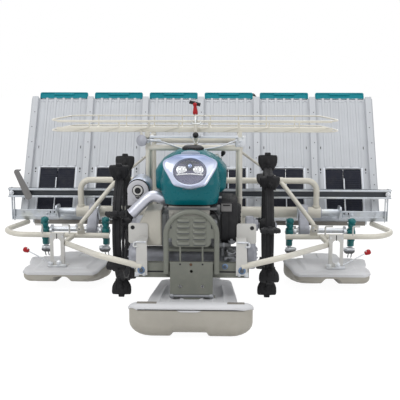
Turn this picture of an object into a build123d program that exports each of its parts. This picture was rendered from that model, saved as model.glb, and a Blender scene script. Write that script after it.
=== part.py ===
from build123d import *
import math
import os

# Walk-behind six-row rice transplanter, millimetres.
# Front is -Y, up is +Z, and the operator walks behind at +Y.
# The origin is on the ground, below the middle of the machine's box.

os.makedirs("parts", exist_ok=True)

# ---------------------------------------------------------------- driving dimensions
ROW_PITCH = 300.0                       # spacing of the planted rows
ROWS = [ROW_PITCH * (i - 2.5) for i in range(6)]
LENGTH_FRONT = -1150.0                  # tip of the centre float
LENGTH_REAR = 1150.0                    # rear end of the grips

TUBE_R = 15.0                           # main cream tubes
GUARD_R = 13.0                          # guard and bumper tubes
WIRE_R = 3.5                            # wires of the spare seedling rack

# paddle wheels and the swing legs that carry them
WHEEL_R = 330.0                         # to the tips of the lugs
WHEEL_X = 328.0
AXLE_Y, AXLE_Z = -480.0, WHEEL_R
RIM_R, RIM_W, RIM_T = 262.0, 36.0, 24.0
LUGS = 8
LUG_ROWS = [                            # height above the tip, width, thickness
    (0.0, 84.0, 17.0),
    (8.0, 90.0, 19.0),
    (44.0, 88.0, 22.0),
    (64.0, 74.0, 24.0),
    (80.0, 50.0, 27.0),
]
LUG_TURN = {-1: 25.0, 1: -7.0}          # how far each wheel has rolled past its lowest lug
SPOKES = 6
HUB_R, HUB_W = 30.0, 70.0
SPOKE_R = 6.5
LEG_Y, LEG_Z = -740.0, 250.0            # pivot of the swing legs
LEG_X0, LEG_X1 = 228.0, 268.0           # faces of a swing leg
AXLE_R = 12.0
JOURNAL_R = 30.0                        # ends of the axle tube, on which the legs swing
RUN = 0.1                               # running clearance of a shaft in its bore

# seedling tray, tilted with its top to the rear
TRAY_TILT = 57.3
TRAY_Y0, TRAY_Z0 = 50.0, 285.0          # lower edge of the tray's face
TRAY_LEN = 668.0
TRAY_W = 1850.0
TRAY_T = 14.0
DIVIDER_W, DIVIDER_H = 34.0, 26.0
BELT_W, BELT_LEN, BELT_UP = 184.0, 240.0, 12.0
EXT_W, EXT_LEN = 262.0, 34.0

# planting drive
BEAM_Y, BEAM_Z, BEAM_R, BEAM_END = -60.0, 310.0, 28.0, 612.0
CASE_X = [-524.0, 0.0, 524.0]
CASE_COLLARS = [40.0, BEAM_R + 2, 40.0] # round the beam; the middle one stays inside the feed box
CASE_W = 44.0
CRANK_Y, CRANK_Z, CRANK_THROW = -142.0, 235.0, 36.0
PIN_Y = CRANK_Y - CRANK_THROW
SHAFT_R, PIN_R = 12.0, 8.0
ARM_WEB = 18.0                          # thickness of an arm between its bosses
ARM_BOSSES = {                          # y from the crank pin, z, radius, width
    "tail": (-8.0, 283.0, 19.0, 32.0),
    "upper": (-4.0, 259.0, 15.0, 26.0),
    "pin": (0.0, CRANK_Z, 20.0, 32.0),
    "lower": (5.0, 207.0, 15.0, 26.0),
    "nose": (10.0, 180.0, 17.0, 30.0),
}
ARM_W = 32.0                            # over the widest boss

# floats
FLOAT_X = 632.0


def export(part, label):
    part.label = label
    export_step(part, f"parts/{label}.step")


def bent_tube(points, radius, bends):
    """A round tube along straight runs joined by tangent arcs."""
    with BuildPart() as tube:
        with BuildLine() as path:
            if len(points) == 2:
                Line(*points)
            else:
                FilletPolyline(*points, radius=bends)
        with BuildSketch(Plane(origin=path.line @ 0, z_dir=path.line % 0)):
            Circle(radius)
        sweep()
    return tube.part


def link_plate(x0, x1, circles, holes=()):
    """A plate between x0 and x1, wrapped round circles given as (y, z, radius)."""
    with BuildPart() as plate:
        with BuildSketch(Plane.YZ.offset(x0)):
            for y, z, r in circles:
                with Locations((y, z)):
                    Circle(r)
            make_hull()
            for y, z, r in holes:
                with Locations((y, z)):
                    Circle(r, mode=Mode.SUBTRACT)
        extrude(amount=x1 - x0)
    return plate.part


def block(x0, x1, y0, y1, z0, z1):
    """A plain box between two corners."""
    with BuildPart() as solid:
        with Locations(((x0 + x1) / 2, (y0 + y1) / 2, (z0 + z1) / 2)):
            Box(x1 - x0, y1 - y0, z1 - z0)
    return solid.part


def rod_x(x0, x1, y, z, radius):
    """A round bar along X."""
    with BuildPart() as solid:
        with BuildSketch(Plane.YZ.offset(x0)):
            with Locations((y, z)):
                Circle(radius)
        extrude(amount=x1 - x0)
    return solid.part


def rod_y(y0, y1, x, z, radius):
    """A round bar along Y."""
    with BuildPart() as solid:
        with BuildSketch(Plane(origin=(x, y0, z), z_dir=(0, 1, 0))):
            Circle(radius)
        extrude(amount=y1 - y0)
    return solid.part


def rod_z(z0, z1, x, y, radius):
    """A round bar along Z."""
    with BuildPart() as solid:
        with BuildSketch(Plane.XY.offset(z0)):
            with Locations((x, y)):
                Circle(radius)
        extrude(amount=z1 - z0)
    return solid.part


def joined(*parts):
    """Several pieces fused into one node."""
    with BuildPart() as whole:
        for piece in parts:
            add(piece)
    return whole.part


def cut(part, *tools):
    """A piece with the room taken out that its neighbours fill."""
    with BuildPart() as rest:
        add(part)
        for tool in tools:
            add(tool, mode=Mode.SUBTRACT)
    return rest.part


def both(part):
    """A piece and its mirror image on the other side of the machine."""
    with BuildPart() as pair:
        add(part)
        mirror(about=Plane.YZ)
    return pair.part


# the tray's own plane: x along X, y up the slope, z out of the loaded face
tilt = math.radians(TRAY_TILT)
TRAY_PLANE = Plane(origin=(0, TRAY_Y0, TRAY_Z0), x_dir=(1, 0, 0), z_dir=(0, -math.sin(tilt), math.cos(tilt)))


def tray_point(x, up, out):
    """A point given by its place on the tray's face, in machine coordinates."""
    return TRAY_PLANE.from_local_coords(Vector(x, up, out))


def tray_box(x0, x1, up0, up1, out0, out1):
    """A box aligned with the tray."""
    with BuildPart() as solid:
        with BuildSketch(TRAY_PLANE.offset(out0)):
            with Locations(((x0 + x1) / 2, (up0 + up1) / 2)):
                Rectangle(x1 - x0, up1 - up0)
        extrude(amount=out1 - out0)
    return solid.part


# ---------------------------------------------------------------- wheels
def wheel(side):
    """Rim with lugs, spokes and hub, about the axle at side * WHEEL_X."""
    x = side * WHEEL_X
    plane = Plane.YZ.offset(x - RIM_W / 2)
    with BuildPart() as solid:
        with BuildSketch(plane):
            with Locations((AXLE_Y, AXLE_Z)):
                Circle(RIM_R)
                Circle(RIM_R - RIM_T, mode=Mode.SUBTRACT)
        extrude(amount=RIM_W)
        with BuildSketch(Plane.YZ.offset(x - HUB_W / 2)):
            with Locations((AXLE_Y, AXLE_Z)):
                Circle(HUB_R)
                Circle(AXLE_R + RUN, mode=Mode.SUBTRACT)
        extrude(amount=HUB_W)
    with BuildPart() as spoke:
        with BuildSketch(Plane.XY.offset(AXLE_Z + HUB_R - 2)):
            with Locations((x, AXLE_Y)):
                Circle(SPOKE_R)
        extrude(amount=RIM_R - RIM_T / 2 - HUB_R)
    # a lug is a shield: wide near the tip, narrow and thick at the rim
    with BuildPart() as lug:
        for height, width, thickness in LUG_ROWS:
            with BuildSketch(Plane.XY.offset(AXLE_Z - WHEEL_R + height)):
                with Locations((x, AXLE_Y)):
                    Rectangle(width, thickness)
        loft(ruled=True)
    turn = Axis((x, AXLE_Y, AXLE_Z), (1, 0, 0))
    with BuildPart() as rolled:
        add(solid.part)
        for i in range(LUGS):
            add(lug.part.rotate(turn, 360.0 / LUGS * i + LUG_TURN[side]))
        for i in range(SPOKES):
            add(spoke.part.rotate(turn, 360.0 / SPOKES * (i + 0.375) + LUG_TURN[side]))
    return rolled.part


def swing_leg(side):
    """Chain case from the leg's pivot to the wheel's axle, with the axle itself."""
    x0, x1 = sorted((side * LEG_X0, side * LEG_X1))
    outer = side * LEG_X1
    with BuildPart() as leg:
        add(link_plate(x0, x1, [(LEG_Y, LEG_Z, 56.0), (AXLE_Y, AXLE_Z, 42.0)]))
        edges = leg.edges().filter_by(GeomType.LINE, reverse=True)
        chamfer(edges, 6.0)
    boss = sorted((outer, outer + side * 18.0))
    socket = rod_x(*sorted((side * (LEG_X0 - 1), side * (LEG_X0 + 24))), LEG_Y, LEG_Z, JOURNAL_R + RUN)
    return joined(
        cut(leg.part, socket),
        rod_x(boss[0], boss[1], AXLE_Y, AXLE_Z, 26.0),
        rod_x(*sorted((outer, side * (WHEEL_X + HUB_W / 2 + 8))), AXLE_Y, AXLE_Z, AXLE_R),
    )


for side, name in ((-1, "right"), (1, "left")):
    export(wheel(side), f"{name}_wheel")
    export(swing_leg(side), f"{name}_swing_leg")

# ---------------------------------------------------------------- chassis and front
BEAM_FRONT_Y = -860.0
ENGINE_Y0, ENGINE_Y1 = BEAM_FRONT_Y + 60.0, BEAM_FRONT_Y + 280.0
chassis = joined(
    block(-237, 237, BEAM_FRONT_Y - 18, BEAM_FRONT_Y + 18, 196, 250),
    block(-237, 237, BEAM_FRONT_Y - 24, BEAM_FRONT_Y + 24, 190, 196),
    block(-110, -104, BEAM_FRONT_Y + 18, ENGINE_Y0 + 14, 210, 302),
    block(104, 110, BEAM_FRONT_Y + 18, ENGINE_Y0 + 14, 210, 302),
    block(-110, 110, BEAM_FRONT_Y + 18, ENGINE_Y1 + 20, 290, 302),
)
export(chassis, "chassis")

GUARD_Y = BEAM_FRONT_Y - 40.0
guard = bent_tube(
    [(-104, GUARD_Y, 212), (-104, GUARD_Y, 470), (104, GUARD_Y, 470), (104, GUARD_Y, 212)], 11.0, 98.0
)
guard_feet = both(block(93, 115, GUARD_Y, BEAM_FRONT_Y - 18, 214, 244))
export(joined(guard, guard_feet), "front_guard")

with BuildPart() as louvre_plate:
    with BuildSketch(Plane.XZ.offset(-GUARD_Y + 2)):
        with Locations((0, 389)):
            RectangleRounded(160, 128, 20)
    extrude(amount=-5)
    # louvres, five rows of two, pressed outwards
    with BuildSketch(Plane.XZ.offset(-GUARD_Y + 2)):
        with GridLocations(66, 24, 2, 5):
            with Locations((0, 389)):
                SlotOverall(52, 11)
    extrude(amount=6, taper=20)
    for x in (-46, 46):
        add(rod_z(256, 330, x, GUARD_Y + 4, 4.0))
    for x in (-86, 86):
        add(block(x - 10, x + 10, GUARD_Y - 2, GUARD_Y + 3, 360, 400))
    add(guard, mode=Mode.SUBTRACT)
export(louvre_plate.part, "louvre_plate")

with BuildPart() as front_plate:
    with BuildSketch(Plane.XZ.offset(-GUARD_Y)):
        with Locations((0, 193)):
            Rectangle(176, 138)
        with Locations((0, 222), (46, 158), (-46, 158)):
            Circle(6.5, mode=Mode.SUBTRACT)
    extrude(amount=6)
front_plate_lip = block(-88, 88, GUARD_Y, BEAM_FRONT_Y - 18, 250, 256)
front_hinge = joined(
    rod_x(-76, 76, GUARD_Y + 8, 128, 7.0),
    both(block(60, 66, GUARD_Y, GUARD_Y + 16, 120, 150)),
)
export(joined(front_plate.part, front_plate_lip, front_hinge), "front_plate")

# ---------------------------------------------------------------- engine
ENGINE_X0, ENGINE_X1 = -128.0, 122.0
BARREL_Y = ENGINE_Y0 + 100.0
FIN_W, FIN_PITCH, FINS = 166.0, 8.0, 3
FRONT_BOSSES = [                        # on the crankcase: x, z, radius, how far it stands out
    (0, 378, 58, 8),
    (0, 378, 30, 14),
    (-84, 406, 20, 10),
    (-92, 336, 17, 12),
    (-50, 320, 12, 8),
    (46, 322, 14, 11),
    (96, 348, 11, 8),
    (92, 410, 17, 7),
]
CARB_X, CARB_Y = 158.0, ENGINE_Y0 - 22.0
CARB_STEPS = [                          # z, radius, height, from the bowl up
    (252, 15, 5),
    (257, 19, 26),
    (283, 23, 8),
    (291, 15, 16),
]
with BuildPart() as cylinder:
    with Locations((0, BARREL_Y, 446)):
        Box(150, 150, 12)
    # cooling fins above the crankcase
    for i in range(FINS):
        with Locations((0, BARREL_Y, 457 + FIN_PITCH * i)):
            Box(FIN_W, FIN_W, 4)
    with Locations((0, BARREL_Y, 462)):
        Box(130, 130, 26)
with BuildPart() as crankcase:
    add(block(ENGINE_X0, ENGINE_X1, ENGINE_Y0, ENGINE_Y1, 302, 440))
    chamfer(crankcase.edges().filter_by(Axis.Z), 6)
    for x, z, radius, height in FRONT_BOSSES:
        add(rod_y(ENGINE_Y0 - height, ENGINE_Y0 + 1, x, z, radius))
    # ribs down the back, between the mounting feet
    for i in range(5):
        x = -88 + 44 * i
        add(block(x - 3, x + 3, ENGINE_Y1 - 1, ENGINE_Y1 + 8, 312, 430))
# carburettor, hung on a pipe from the crankcase, with its intake horn
carburettor = joined(
    *[rod_z(z, z + height, CARB_X, CARB_Y, radius) for z, radius, height in CARB_STEPS],
    rod_y(CARB_Y, ENGINE_Y0 + 1, 94, 313, 11),
    rod_x(94, CARB_X + 4, CARB_Y, 313, 11),
    rod_x(CARB_X, CARB_X + 26, CARB_Y, 287, 13),
    rod_x(CARB_X + 26, CARB_X + 33, CARB_Y, 287, 17),
)
hood_seat = block(-104, 104, BEAM_FRONT_Y + 12, ENGINE_Y1 + 8, 468, 478)
engine = joined(crankcase.part, cylinder.part, hood_seat, carburettor)
export(engine, "engine")

RECOIL_Y, RECOIL_Z = ENGINE_Y0 + 94.0, 405.0
RECOIL_DEPTH, RECOIL_EYE, RECOIL_SLOTS = 68.0, 15.0, 18
with BuildPart() as recoil:
    with BuildSketch(Plane.YZ.offset(ENGINE_X1)):
        with Locations((RECOIL_Y, RECOIL_Z)):
            RectangleRounded(206, 198, 50)
    extrude(amount=RECOIL_DEPTH)
    chamfer(recoil.faces().sort_by(Axis.X)[-1].edges(), 14)
    with BuildSketch(Plane.YZ.offset(ENGINE_X1 + RECOIL_DEPTH)):
        with Locations((RECOIL_Y, RECOIL_Z)):
            Circle(70)
    extrude(amount=RECOIL_EYE, taper=12)
    # air slots round the bare middle
    with BuildSketch(Plane.YZ.offset(ENGINE_X1 + RECOIL_DEPTH + RECOIL_EYE)):
        with Locations((RECOIL_Y, RECOIL_Z)):
            with PolarLocations(51, RECOIL_SLOTS):
                SlotOverall(20, 6)
    extrude(amount=-7, mode=Mode.SUBTRACT)
    # a shallow bare recess in the front, and the grip of the pull cord above it
    with BuildSketch(Plane.XZ.offset(-RECOIL_Y + 103)):
        with Locations((ENGINE_X1 + 32, RECOIL_Z + 24)):
            Rectangle(40, 34)
    extrude(amount=-4, mode=Mode.SUBTRACT)
    with Locations((ENGINE_X1 + 32, RECOIL_Y - 103, RECOIL_Z + 54)):
        Box(46, 12, 9)
export(recoil.part, "recoil_housing")

BELT_COVER = [(-128, 304), (-222, 304), (-222, 402), (-198, 452), (-146, 458), (-128, 458)]
with BuildPart() as belt_cover:
    with BuildSketch(Plane.XZ.offset(640)):
        with BuildLine():
            Polyline(*BELT_COVER, close=True)
        make_face()
    extrude(amount=160)
    fillet(belt_cover.edges().filter_by(Axis.Y).group_by(Axis.X)[0], 16)
    chamfer(belt_cover.faces().sort_by(Axis.Y)[0].edges(), 5)
export(cut(belt_cover.part, engine), "belt_cover")

MUFFLER_X, MUFFLER_Z = -222.0, 545.0
MUFFLER_Y = -790.0
muffler_can = rod_y(MUFFLER_Y, -620, MUFFLER_X, MUFFLER_Z + 8, 47.0)
with BuildPart() as muffler_shield:
    with BuildSketch(Plane(origin=(MUFFLER_X, MUFFLER_Y, MUFFLER_Z), x_dir=(1, 0, 0), z_dir=(0, -1, 0))):
        SlotOverall(122, 80, rotation=90)
    extrude(amount=8)
    with BuildSketch(Plane.XZ.offset(-MUFFLER_Y + 8)):
        with Locations((MUFFLER_X, MUFFLER_Z + 6)):
            Circle(20)
            Circle(12, mode=Mode.SUBTRACT)
    extrude(amount=8)
muffler_tab = block(-206, -194, -650, -608, 535, 555)

elbow = bent_tube(
    [(-75, -730, 454), (-108, -824, 454), (-190, -832, 466), (-250, -832, 414)], 19.0, [30.0, 40.0])
export(cut(elbow, engine), "exhaust_elbow")

# hood: a shell, open below, of a nose body and a wider cheek body behind it
HOOD_NOSE = [                           # z, width, front y, rear y, corner radius
    (478, 226, -856, -560, 58),
    (500, 238, -866, -556, 64),
    (570, 250, -874, -552, 68),
    (650, 226, -846, -578, 66),
    (700, 158, -800, -642, 56),
    (722, 100, -776, -662, 44),
]
HOOD_CHEEK = [
    (522, 262, -760, -556, 30),
    (545, 296, -786, -552, 44),
    (620, 300, -790, -556, 48),
    (668, 236, -780, -606, 46),
    (706, 140, -770, -648, 40),
]
HOOD_WALL = 5.0


def hood_loft(rows, inset):
    with BuildPart() as shape:
        for z, width, front, rear, corner in rows:
            with BuildSketch(Plane.XY.offset(z - (inset if z > HOOD_NOSE[0][0] else 0))):
                with Locations((0, (front + rear) / 2)):
                    RectangleRounded(width - 2 * inset, rear - front - 2 * inset, corner - inset)
        loft(ruled=True)
    return shape.part


hood_skin = joined(hood_loft(HOOD_NOSE, 0), hood_loft(HOOD_CHEEK, 0))
with BuildPart() as hood:
    add(hood_skin)
    add(joined(hood_loft(HOOD_NOSE, HOOD_WALL), hood_loft(HOOD_CHEEK, HOOD_WALL)), mode=Mode.SUBTRACT)
export(hood.part, "hood")

# headlamp: a shield-shaped bezel with an oval lens, leaning back with the hood's nose
LAMP_PLANE = Plane(origin=(0, -862, 626), x_dir=(1, 0, 0), z_dir=(0, -math.cos(0.42), math.sin(0.42)))
BEZEL = [(-80, 76), (-106, 44), (-72, -56), (0, -76), (72, -56), (106, 44), (80, 76)]
LENS_W, LENS_H = 63.0, 52.0
with BuildPart() as headlamp:
    with BuildSketch(LAMP_PLANE):
        with BuildLine():
            Polyline(*BEZEL, close=True)
        make_face()
    extrude(amount=14, taper=18)
    with BuildSketch(LAMP_PLANE):
        with BuildLine():
            Polyline(*[(x * 0.94, v * 0.94) for x, v in BEZEL], close=True)
        make_face()
    extrude(amount=-60, taper=14)
    with BuildSketch(LAMP_PLANE.offset(10)):
        Ellipse(LENS_W, LENS_H)
    extrude(amount=10, taper=20)
    add(hood_skin, mode=Mode.SUBTRACT)
export(headlamp.part, "headlamp")

with BuildPart() as fuel_cap:
    with BuildSketch(Plane.XY.offset(722)):
        with Locations((0, -712)):
            Circle(30)
    extrude(amount=8)
    with BuildSketch(Plane.XY.offset(730)):
        with Locations((0, -712)):
            Circle(44)
    extrude(amount=18, taper=6)
export(fuel_cap.part, "fuel_cap")

# ---------------------------------------------------------------- transmission
with BuildPart() as gearbox:
    with BuildSketch(Plane.YZ.offset(-95)):
        with BuildLine():
            Polyline((-560, 200), (-500, 176), (-400, 190), (-372, 240), (-372, 322), (-430, 352),
                     (-560, 330), close=True)
        make_face()
    extrude(amount=190)
    chamfer(gearbox.edges().filter_by(Axis.X), 8)
axle_tube = rod_x(-LEG_X0 + 1, LEG_X0 - 1, LEG_Y, LEG_Z, 40.0)
neck = both(block(40, 80, LEG_Y + 20, -556, 214, 286))
flanges = both(rod_x(LEG_X0 - 16, LEG_X0 - 1, LEG_Y, LEG_Z, 52.0))
journals = both(rod_x(LEG_X0 - 1, LEG_X0 + 23, LEG_Y, LEG_Z, JOURNAL_R))
transmission = joined(gearbox.part, axle_tube, neck, flanges, journals)
export(transmission, "transmission")

# lift cylinder lies on the gearbox and pulls the legs through a cross head
lift = joined(
    rod_y(-548, -330, 0, 386, 30.0),
    block(-24, 24, -540, -500, 340, 360),
    block(-24, 24, -420, -400, 340, 360),
    rod_y(-330, -270, 0, 386, 10.0),
    block(-80, 80, -290, -270, 372, 400),
)
export(cut(lift, transmission), "lift_cylinder")

STRAP_PLATE_Y = ENGINE_Y0 - 1
with BuildPart() as strap:
    with BuildSketch(Plane.XZ.offset(-BEAM_FRONT_Y + 24)):
        with BuildLine():
            Polyline((183, 200), (232, 200), (226, 345), (184, 345), close=True)
        make_face()
        with Locations((208, 222)):
            Circle(8, mode=Mode.SUBTRACT)
    extrude(amount=5)
strap_hook = block(184, 226, BEAM_FRONT_Y - 29, STRAP_PLATE_Y, 340, 345)
with BuildPart() as strap_plate:
    with BuildSketch(Plane.XZ.offset(-STRAP_PLATE_Y)):
        with Locations((227, 360)):
            RectangleRounded(82, 86, 10)
        with Locations((250, 384)):
            Circle(9, mode=Mode.SUBTRACT)
    extrude(amount=5)
export(both(joined(strap.part, strap_hook, strap_plate.part)), "straps")

# ---------------------------------------------------------------- rack frame and spare seedling rack
POST_X = 200.0
POST_FRONT_Y, POST_REAR_Y = -600.0, -300.0
RACK_Z = 768.0
front_post = rod_z(300, 745, POST_X, POST_FRONT_Y, 11.0)
rear_post = rod_z(330, 745, POST_X, POST_REAR_Y, 11.0)
spine = bent_tube([(0, -372, 290), (0, -240, 290), (0, BEAM_Y - 20, BEAM_Z)], 26.0, 60.0)
rack_frame = joined(
    both(front_post),
    both(rear_post),
    rod_x(-POST_X, POST_X, POST_FRONT_Y, 697, 13.0),
    rod_x(-POST_X, POST_X, POST_REAR_Y, 697, 13.0),
    both(rod_y(POST_FRONT_Y, POST_REAR_Y, POST_X, 728, 9.0)),
    both(block(POST_X - 20, POST_X + 26, POST_FRONT_Y - 10, POST_FRONT_Y + 10, 290, 304)),
    both(block(110, POST_X, POST_FRONT_Y - 8, POST_FRONT_Y + 8, 290, 302)),
    both(block(POST_X - 12, POST_X + 12, POST_REAR_Y - 12, POST_REAR_Y + 12, 318, 332)),
    rod_x(-POST_X - 12, POST_X + 12, POST_REAR_Y, 318, 12.0),
)
rack_frame = cut(rack_frame, spine)
export(rack_frame, "rack_frame")
export(cut(joined(muffler_can, muffler_shield.part, muffler_tab), rack_frame), "muffler")

RACK_FRONT_Y, RACK_REAR_Y = -600.0, -318.0
RACK_FRONT_X, RACK_REAR_X = 645.0, 570.0


def rack_ring(z):
    corners = [
        (-RACK_REAR_X, RACK_REAR_Y, z),
        (-RACK_FRONT_X, RACK_FRONT_Y, z),
        (RACK_FRONT_X, RACK_FRONT_Y, z),
        (RACK_REAR_X, RACK_REAR_Y, z),
    ]
    with BuildPart() as ring:
        with BuildLine() as path:
            FilletPolyline(*corners, radius=60.0, close=True)
        with BuildSketch(Plane(origin=path.line @ 0, z_dir=path.line % 0)):
            Circle(WIRE_R)
        sweep()
    return ring.part


rack_parts = [rack_ring(RACK_Z), rack_ring(RACK_Z + 45)]
for y in (-500, -415):
    rack_parts.append(rod_x(-600, 600, y, RACK_Z, WIRE_R))
for i in range(8):
    x = -455 + 130 * i
    rack_parts.append(rod_y(RACK_FRONT_Y, RACK_REAR_Y, x, RACK_Z - 4, WIRE_R))
    for y in (RACK_FRONT_Y, RACK_REAR_Y):
        rack_parts.append(rod_z(RACK_Z, RACK_Z + 45, x, y, WIRE_R - 0.5))
for x in (-POST_X, POST_X):
    for y in (RACK_FRONT_Y, RACK_REAR_Y + 10):
        rack_parts.append(block(x - 8, x + 8, y - 16, y + 12, 745, RACK_Z))
export(cut(joined(*rack_parts), rack_frame), "seedling_rack")

levers = joined(
    rod_z(697, 836, 0, POST_FRONT_Y + 40, 7.0),
    rod_z(836, 884, 0, POST_FRONT_Y + 40, 12.0),
    rod_x(-24, 24, POST_FRONT_Y + 40, 892, 9.0),
    block(-20, 20, POST_FRONT_Y + 10, POST_FRONT_Y + 60, 690, 706),
    both(bent_tube(
        [(18, POST_FRONT_Y + 40, 703), (150, POST_FRONT_Y + 22, 726), (188, POST_FRONT_Y + 20, 726)],
        3.5, 14.0)),
)
export(cut(levers, rack_frame), "release_levers")

# ---------------------------------------------------------------- planting frame
beam = rod_x(-BEAM_END, BEAM_END, BEAM_Y, BEAM_Z, BEAM_R)
with BuildPart() as feed_box:
    with Locations((0, BEAM_Y + 4, BEAM_Z + 6)):
        Box(120, 96, 76)
    chamfer(feed_box.edges(), 8)
planting_beam = joined(beam, feed_box.part)
planting_frame = joined(spine, planting_beam)
export(planting_beam, "planting_beam")
export(cut(spine, planting_beam), "spine")

cases = []
for x, collar in zip(CASE_X, CASE_COLLARS):
    case = link_plate(
        x - CASE_W / 2, x + CASE_W / 2,
        [(BEAM_Y, BEAM_Z, collar), (CRANK_Y, CRANK_Z, 32.0)],
        [(BEAM_Y, BEAM_Z, BEAM_R), (CRANK_Y, CRANK_Z, SHAFT_R + RUN)],
    )
    cases.append(case)
cases[1] = cut(cases[1], planting_frame)
planting_cases = joined(*cases)
export(planting_cases, "planting_cases")

# crank shafts turn together; each carries a crank at both ends
cranks = []
arms = []
claws = []
rockers = []
NOSE = (PIN_Y + ARM_BOSSES["nose"][0], ARM_BOSSES["nose"][1])
for case_x, rows in zip(CASE_X, (ROWS[0:2], ROWS[2:4], ROWS[4:6])):
    web_in = [rows[0] + ARM_W / 2 + 6, rows[1] - ARM_W / 2 - 6]
    cranks.append(rod_x(web_in[0], web_in[1], CRANK_Y, CRANK_Z, SHAFT_R))
    for row, inward in ((rows[0], 1), (rows[1], -1)):
        web = sorted((row + inward * (ARM_W / 2 + 6), row + inward * (ARM_W / 2 + 18)))
        cranks.append(link_plate(web[0], web[1], [(CRANK_Y, CRANK_Z, 22.0), (PIN_Y, CRANK_Z, 16.0)]))
        pin = sorted((row + inward * (ARM_W / 2 + 6), row - inward * (ARM_W / 2 + 6)))
        cranks.append(rod_x(pin[0], pin[1], PIN_Y, CRANK_Z, PIN_R))
        # arm: a web that follows a stack of round bosses, bored for the crank pin
        bosses = [(PIN_Y + dy, z, radius, width) for dy, z, radius, width in ARM_BOSSES.values()]
        with BuildPart() as arm:
            for lower, upper in zip(bosses[1:], bosses):
                add(link_plate(row - ARM_WEB / 2, row + ARM_WEB / 2,
                               [(*lower[:2], lower[2] - 4), (*upper[:2], upper[2] - 4)]))
            for y, z, radius, width in bosses:
                add(rod_x(row - width / 2, row + width / 2, y, z, radius))
            add(rod_x(row - ARM_W, row + ARM_W, PIN_Y, CRANK_Z, PIN_R + RUN), mode=Mode.SUBTRACT)
        arms.append(arm.part)
        # fork of two prongs below the nose
        root = cut(block(row - 10, row + 10, NOSE[0] - 8, NOSE[0] + 12, 140, NOSE[1]), arms[-1])
        for dx in (-8, 8):
            route = [(NOSE[0] + 4, 142), (NOSE[0] + 8, 118), (NOSE[0] + 30, 100)]
            prong = bent_tube([(row + dx, y, z) for y, z in route], 2.5, 10.0)
            claws.append(prong)
        claws.append(root)
        # rocker: from the beam to the arm's tail, beside the arm
        rock = sorted((row + inward * (ARM_W / 2 + 26), row + inward * (ARM_W / 2 + 34)))
        rockers.append(cut(
            link_plate(rock[0], rock[1], [(BEAM_Y, BEAM_Z, 36.0), (BEAM_Y - 62, BEAM_Z + 26, 14.0)]), beam))
        if abs(row) > BEAM_END:
            rockers.append(rod_x(*sorted((math.copysign(BEAM_END, row), rock[0])), BEAM_Y, BEAM_Z, 18.0))
export(joined(*cranks), "planting_cranks")
export(joined(*arms), "planting_arms")
export(joined(*claws), "planting_claws")
export(joined(*rockers), "rocker_links")

# upper frame: a wide inverted U of tube on the beam's ends, with its stays
U_X, U_Y, U_Z = 590.0, -60.0, 470.0
u_tube = bent_tube([(-U_X, U_Y, BEAM_Z), (-U_X, U_Y, U_Z), (U_X, U_Y, U_Z), (U_X, U_Y, BEAM_Z)], TUBE_R, 50.0)
u_tube = cut(u_tube, beam)
export(u_tube, "upper_frame")
BRACKET_X = 556.0
stays = joined(
    both(bent_tube([(POST_X, POST_REAR_Y, 650), (408, U_Y, U_Z)], 6.0, 0)),
    both(bent_tube([(408, U_Y, U_Z), (BRACKET_X, -252, 293), (BRACKET_X + 12, -262, 262)], 11.0, 20.0)),
)
stays = cut(stays, u_tube, rack_frame)
export(stays, "stays")

# ---------------------------------------------------------------- side guards
GUARD_Z = 228.0
loop_bar = bent_tube(
    [(428, -232, 222), (890, -232, 226), (960, -150, 230), (885, 45, 233)], GUARD_R, [60.0, 70.0])
bumper = bent_tube(
    [(212, BEAM_FRONT_Y - 22, 238), (392, BEAM_FRONT_Y - 8, 250), (628, -322, 206), (600, -232, 224)],
    GUARD_R, [60.0, 24.0])
bracket = link_plate(BRACKET_X - 3, BRACKET_X + 3, [(-262, 268, 18.0), (-236, 226, 20.0)])
side_guards = cut(both(joined(loop_bar, bumper, bracket)), chassis, stays, both(strap.part))
export(side_guards, "side_guards")

# ---------------------------------------------------------------- tray rail and guide bar
RAIL_X = TRAY_W / 2 + 35.0
GUIDE_X = RAIL_X + 12.0
with BuildPart() as rail:
    with BuildSketch(Plane.YZ.offset(-RAIL_X)):
        with BuildLine():
            Polyline((12, 303), (12, 268), (34, 246), (104, 246), (104, 268), (99, 268), (99, 251), (36, 251),
                     (17, 270), (17, 303), close=True)
        make_face()
    extrude(amount=2 * RAIL_X)
    # gates, one a row, where the claws pass
    for row in ROWS:
        with Locations((row, 14, 296)):
            Box(24, 30, 20, mode=Mode.SUBTRACT)
rail_ends = both(joined(
    block(RAIL_X - 5, RAIL_X, 6, 22, 251, 420), block(RAIL_X - 5, RAIL_X, 6, 104, 251, 266)))
rail_skirt = block(-RAIL_X + 100, RAIL_X - 100, 40, 44, 229, 246)
export(cut(joined(rail.part, rail_skirt), rail_ends), "tray_rail")

with BuildPart() as guide_bar:
    with BuildSketch(Plane.YZ.offset(-GUIDE_X)):
        with Locations((8, 393)):
            Rectangle(26, 46)
        with Locations((2, 393)):
            Rectangle(26, 34, mode=Mode.SUBTRACT)
    extrude(amount=2 * GUIDE_X)
export(cut(guide_bar.part, rail_ends), "guide_bar")

# arm on the guide bar's right end, with a tab that points back to the tray's edge
END_ARM_X = -TRAY_W / 2 + 1
with BuildPart() as end_arm:
    with BuildSketch(Plane.XZ.offset(5)):
        with Locations((END_ARM_X + 56, 376)):
            Circle(18)
        with Locations((END_ARM_X, 500)):
            Circle(13)
        make_hull()
    extrude(amount=6)
    with Locations((END_ARM_X, 20, 504)):
        Box(22, 50, 5)
export(end_arm.part, "end_arm")

# struts from the beam to the tray rail and guide bar
rail_stays = both(joined(
    block(300, 340, BEAM_Y - 12, 40, 226, 232),
    block(300, 306, BEAM_Y - 12, 40, 232, 246),
    block(334, 340, BEAM_Y - 12, 40, 232, 246),
    block(300, 340, BEAM_Y - 8, BEAM_Y + 8, 232, BEAM_Z - BEAM_R + 3),
))
export(cut(joined(rail_stays, rail_ends), planting_frame), "rail_brackets")

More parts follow.
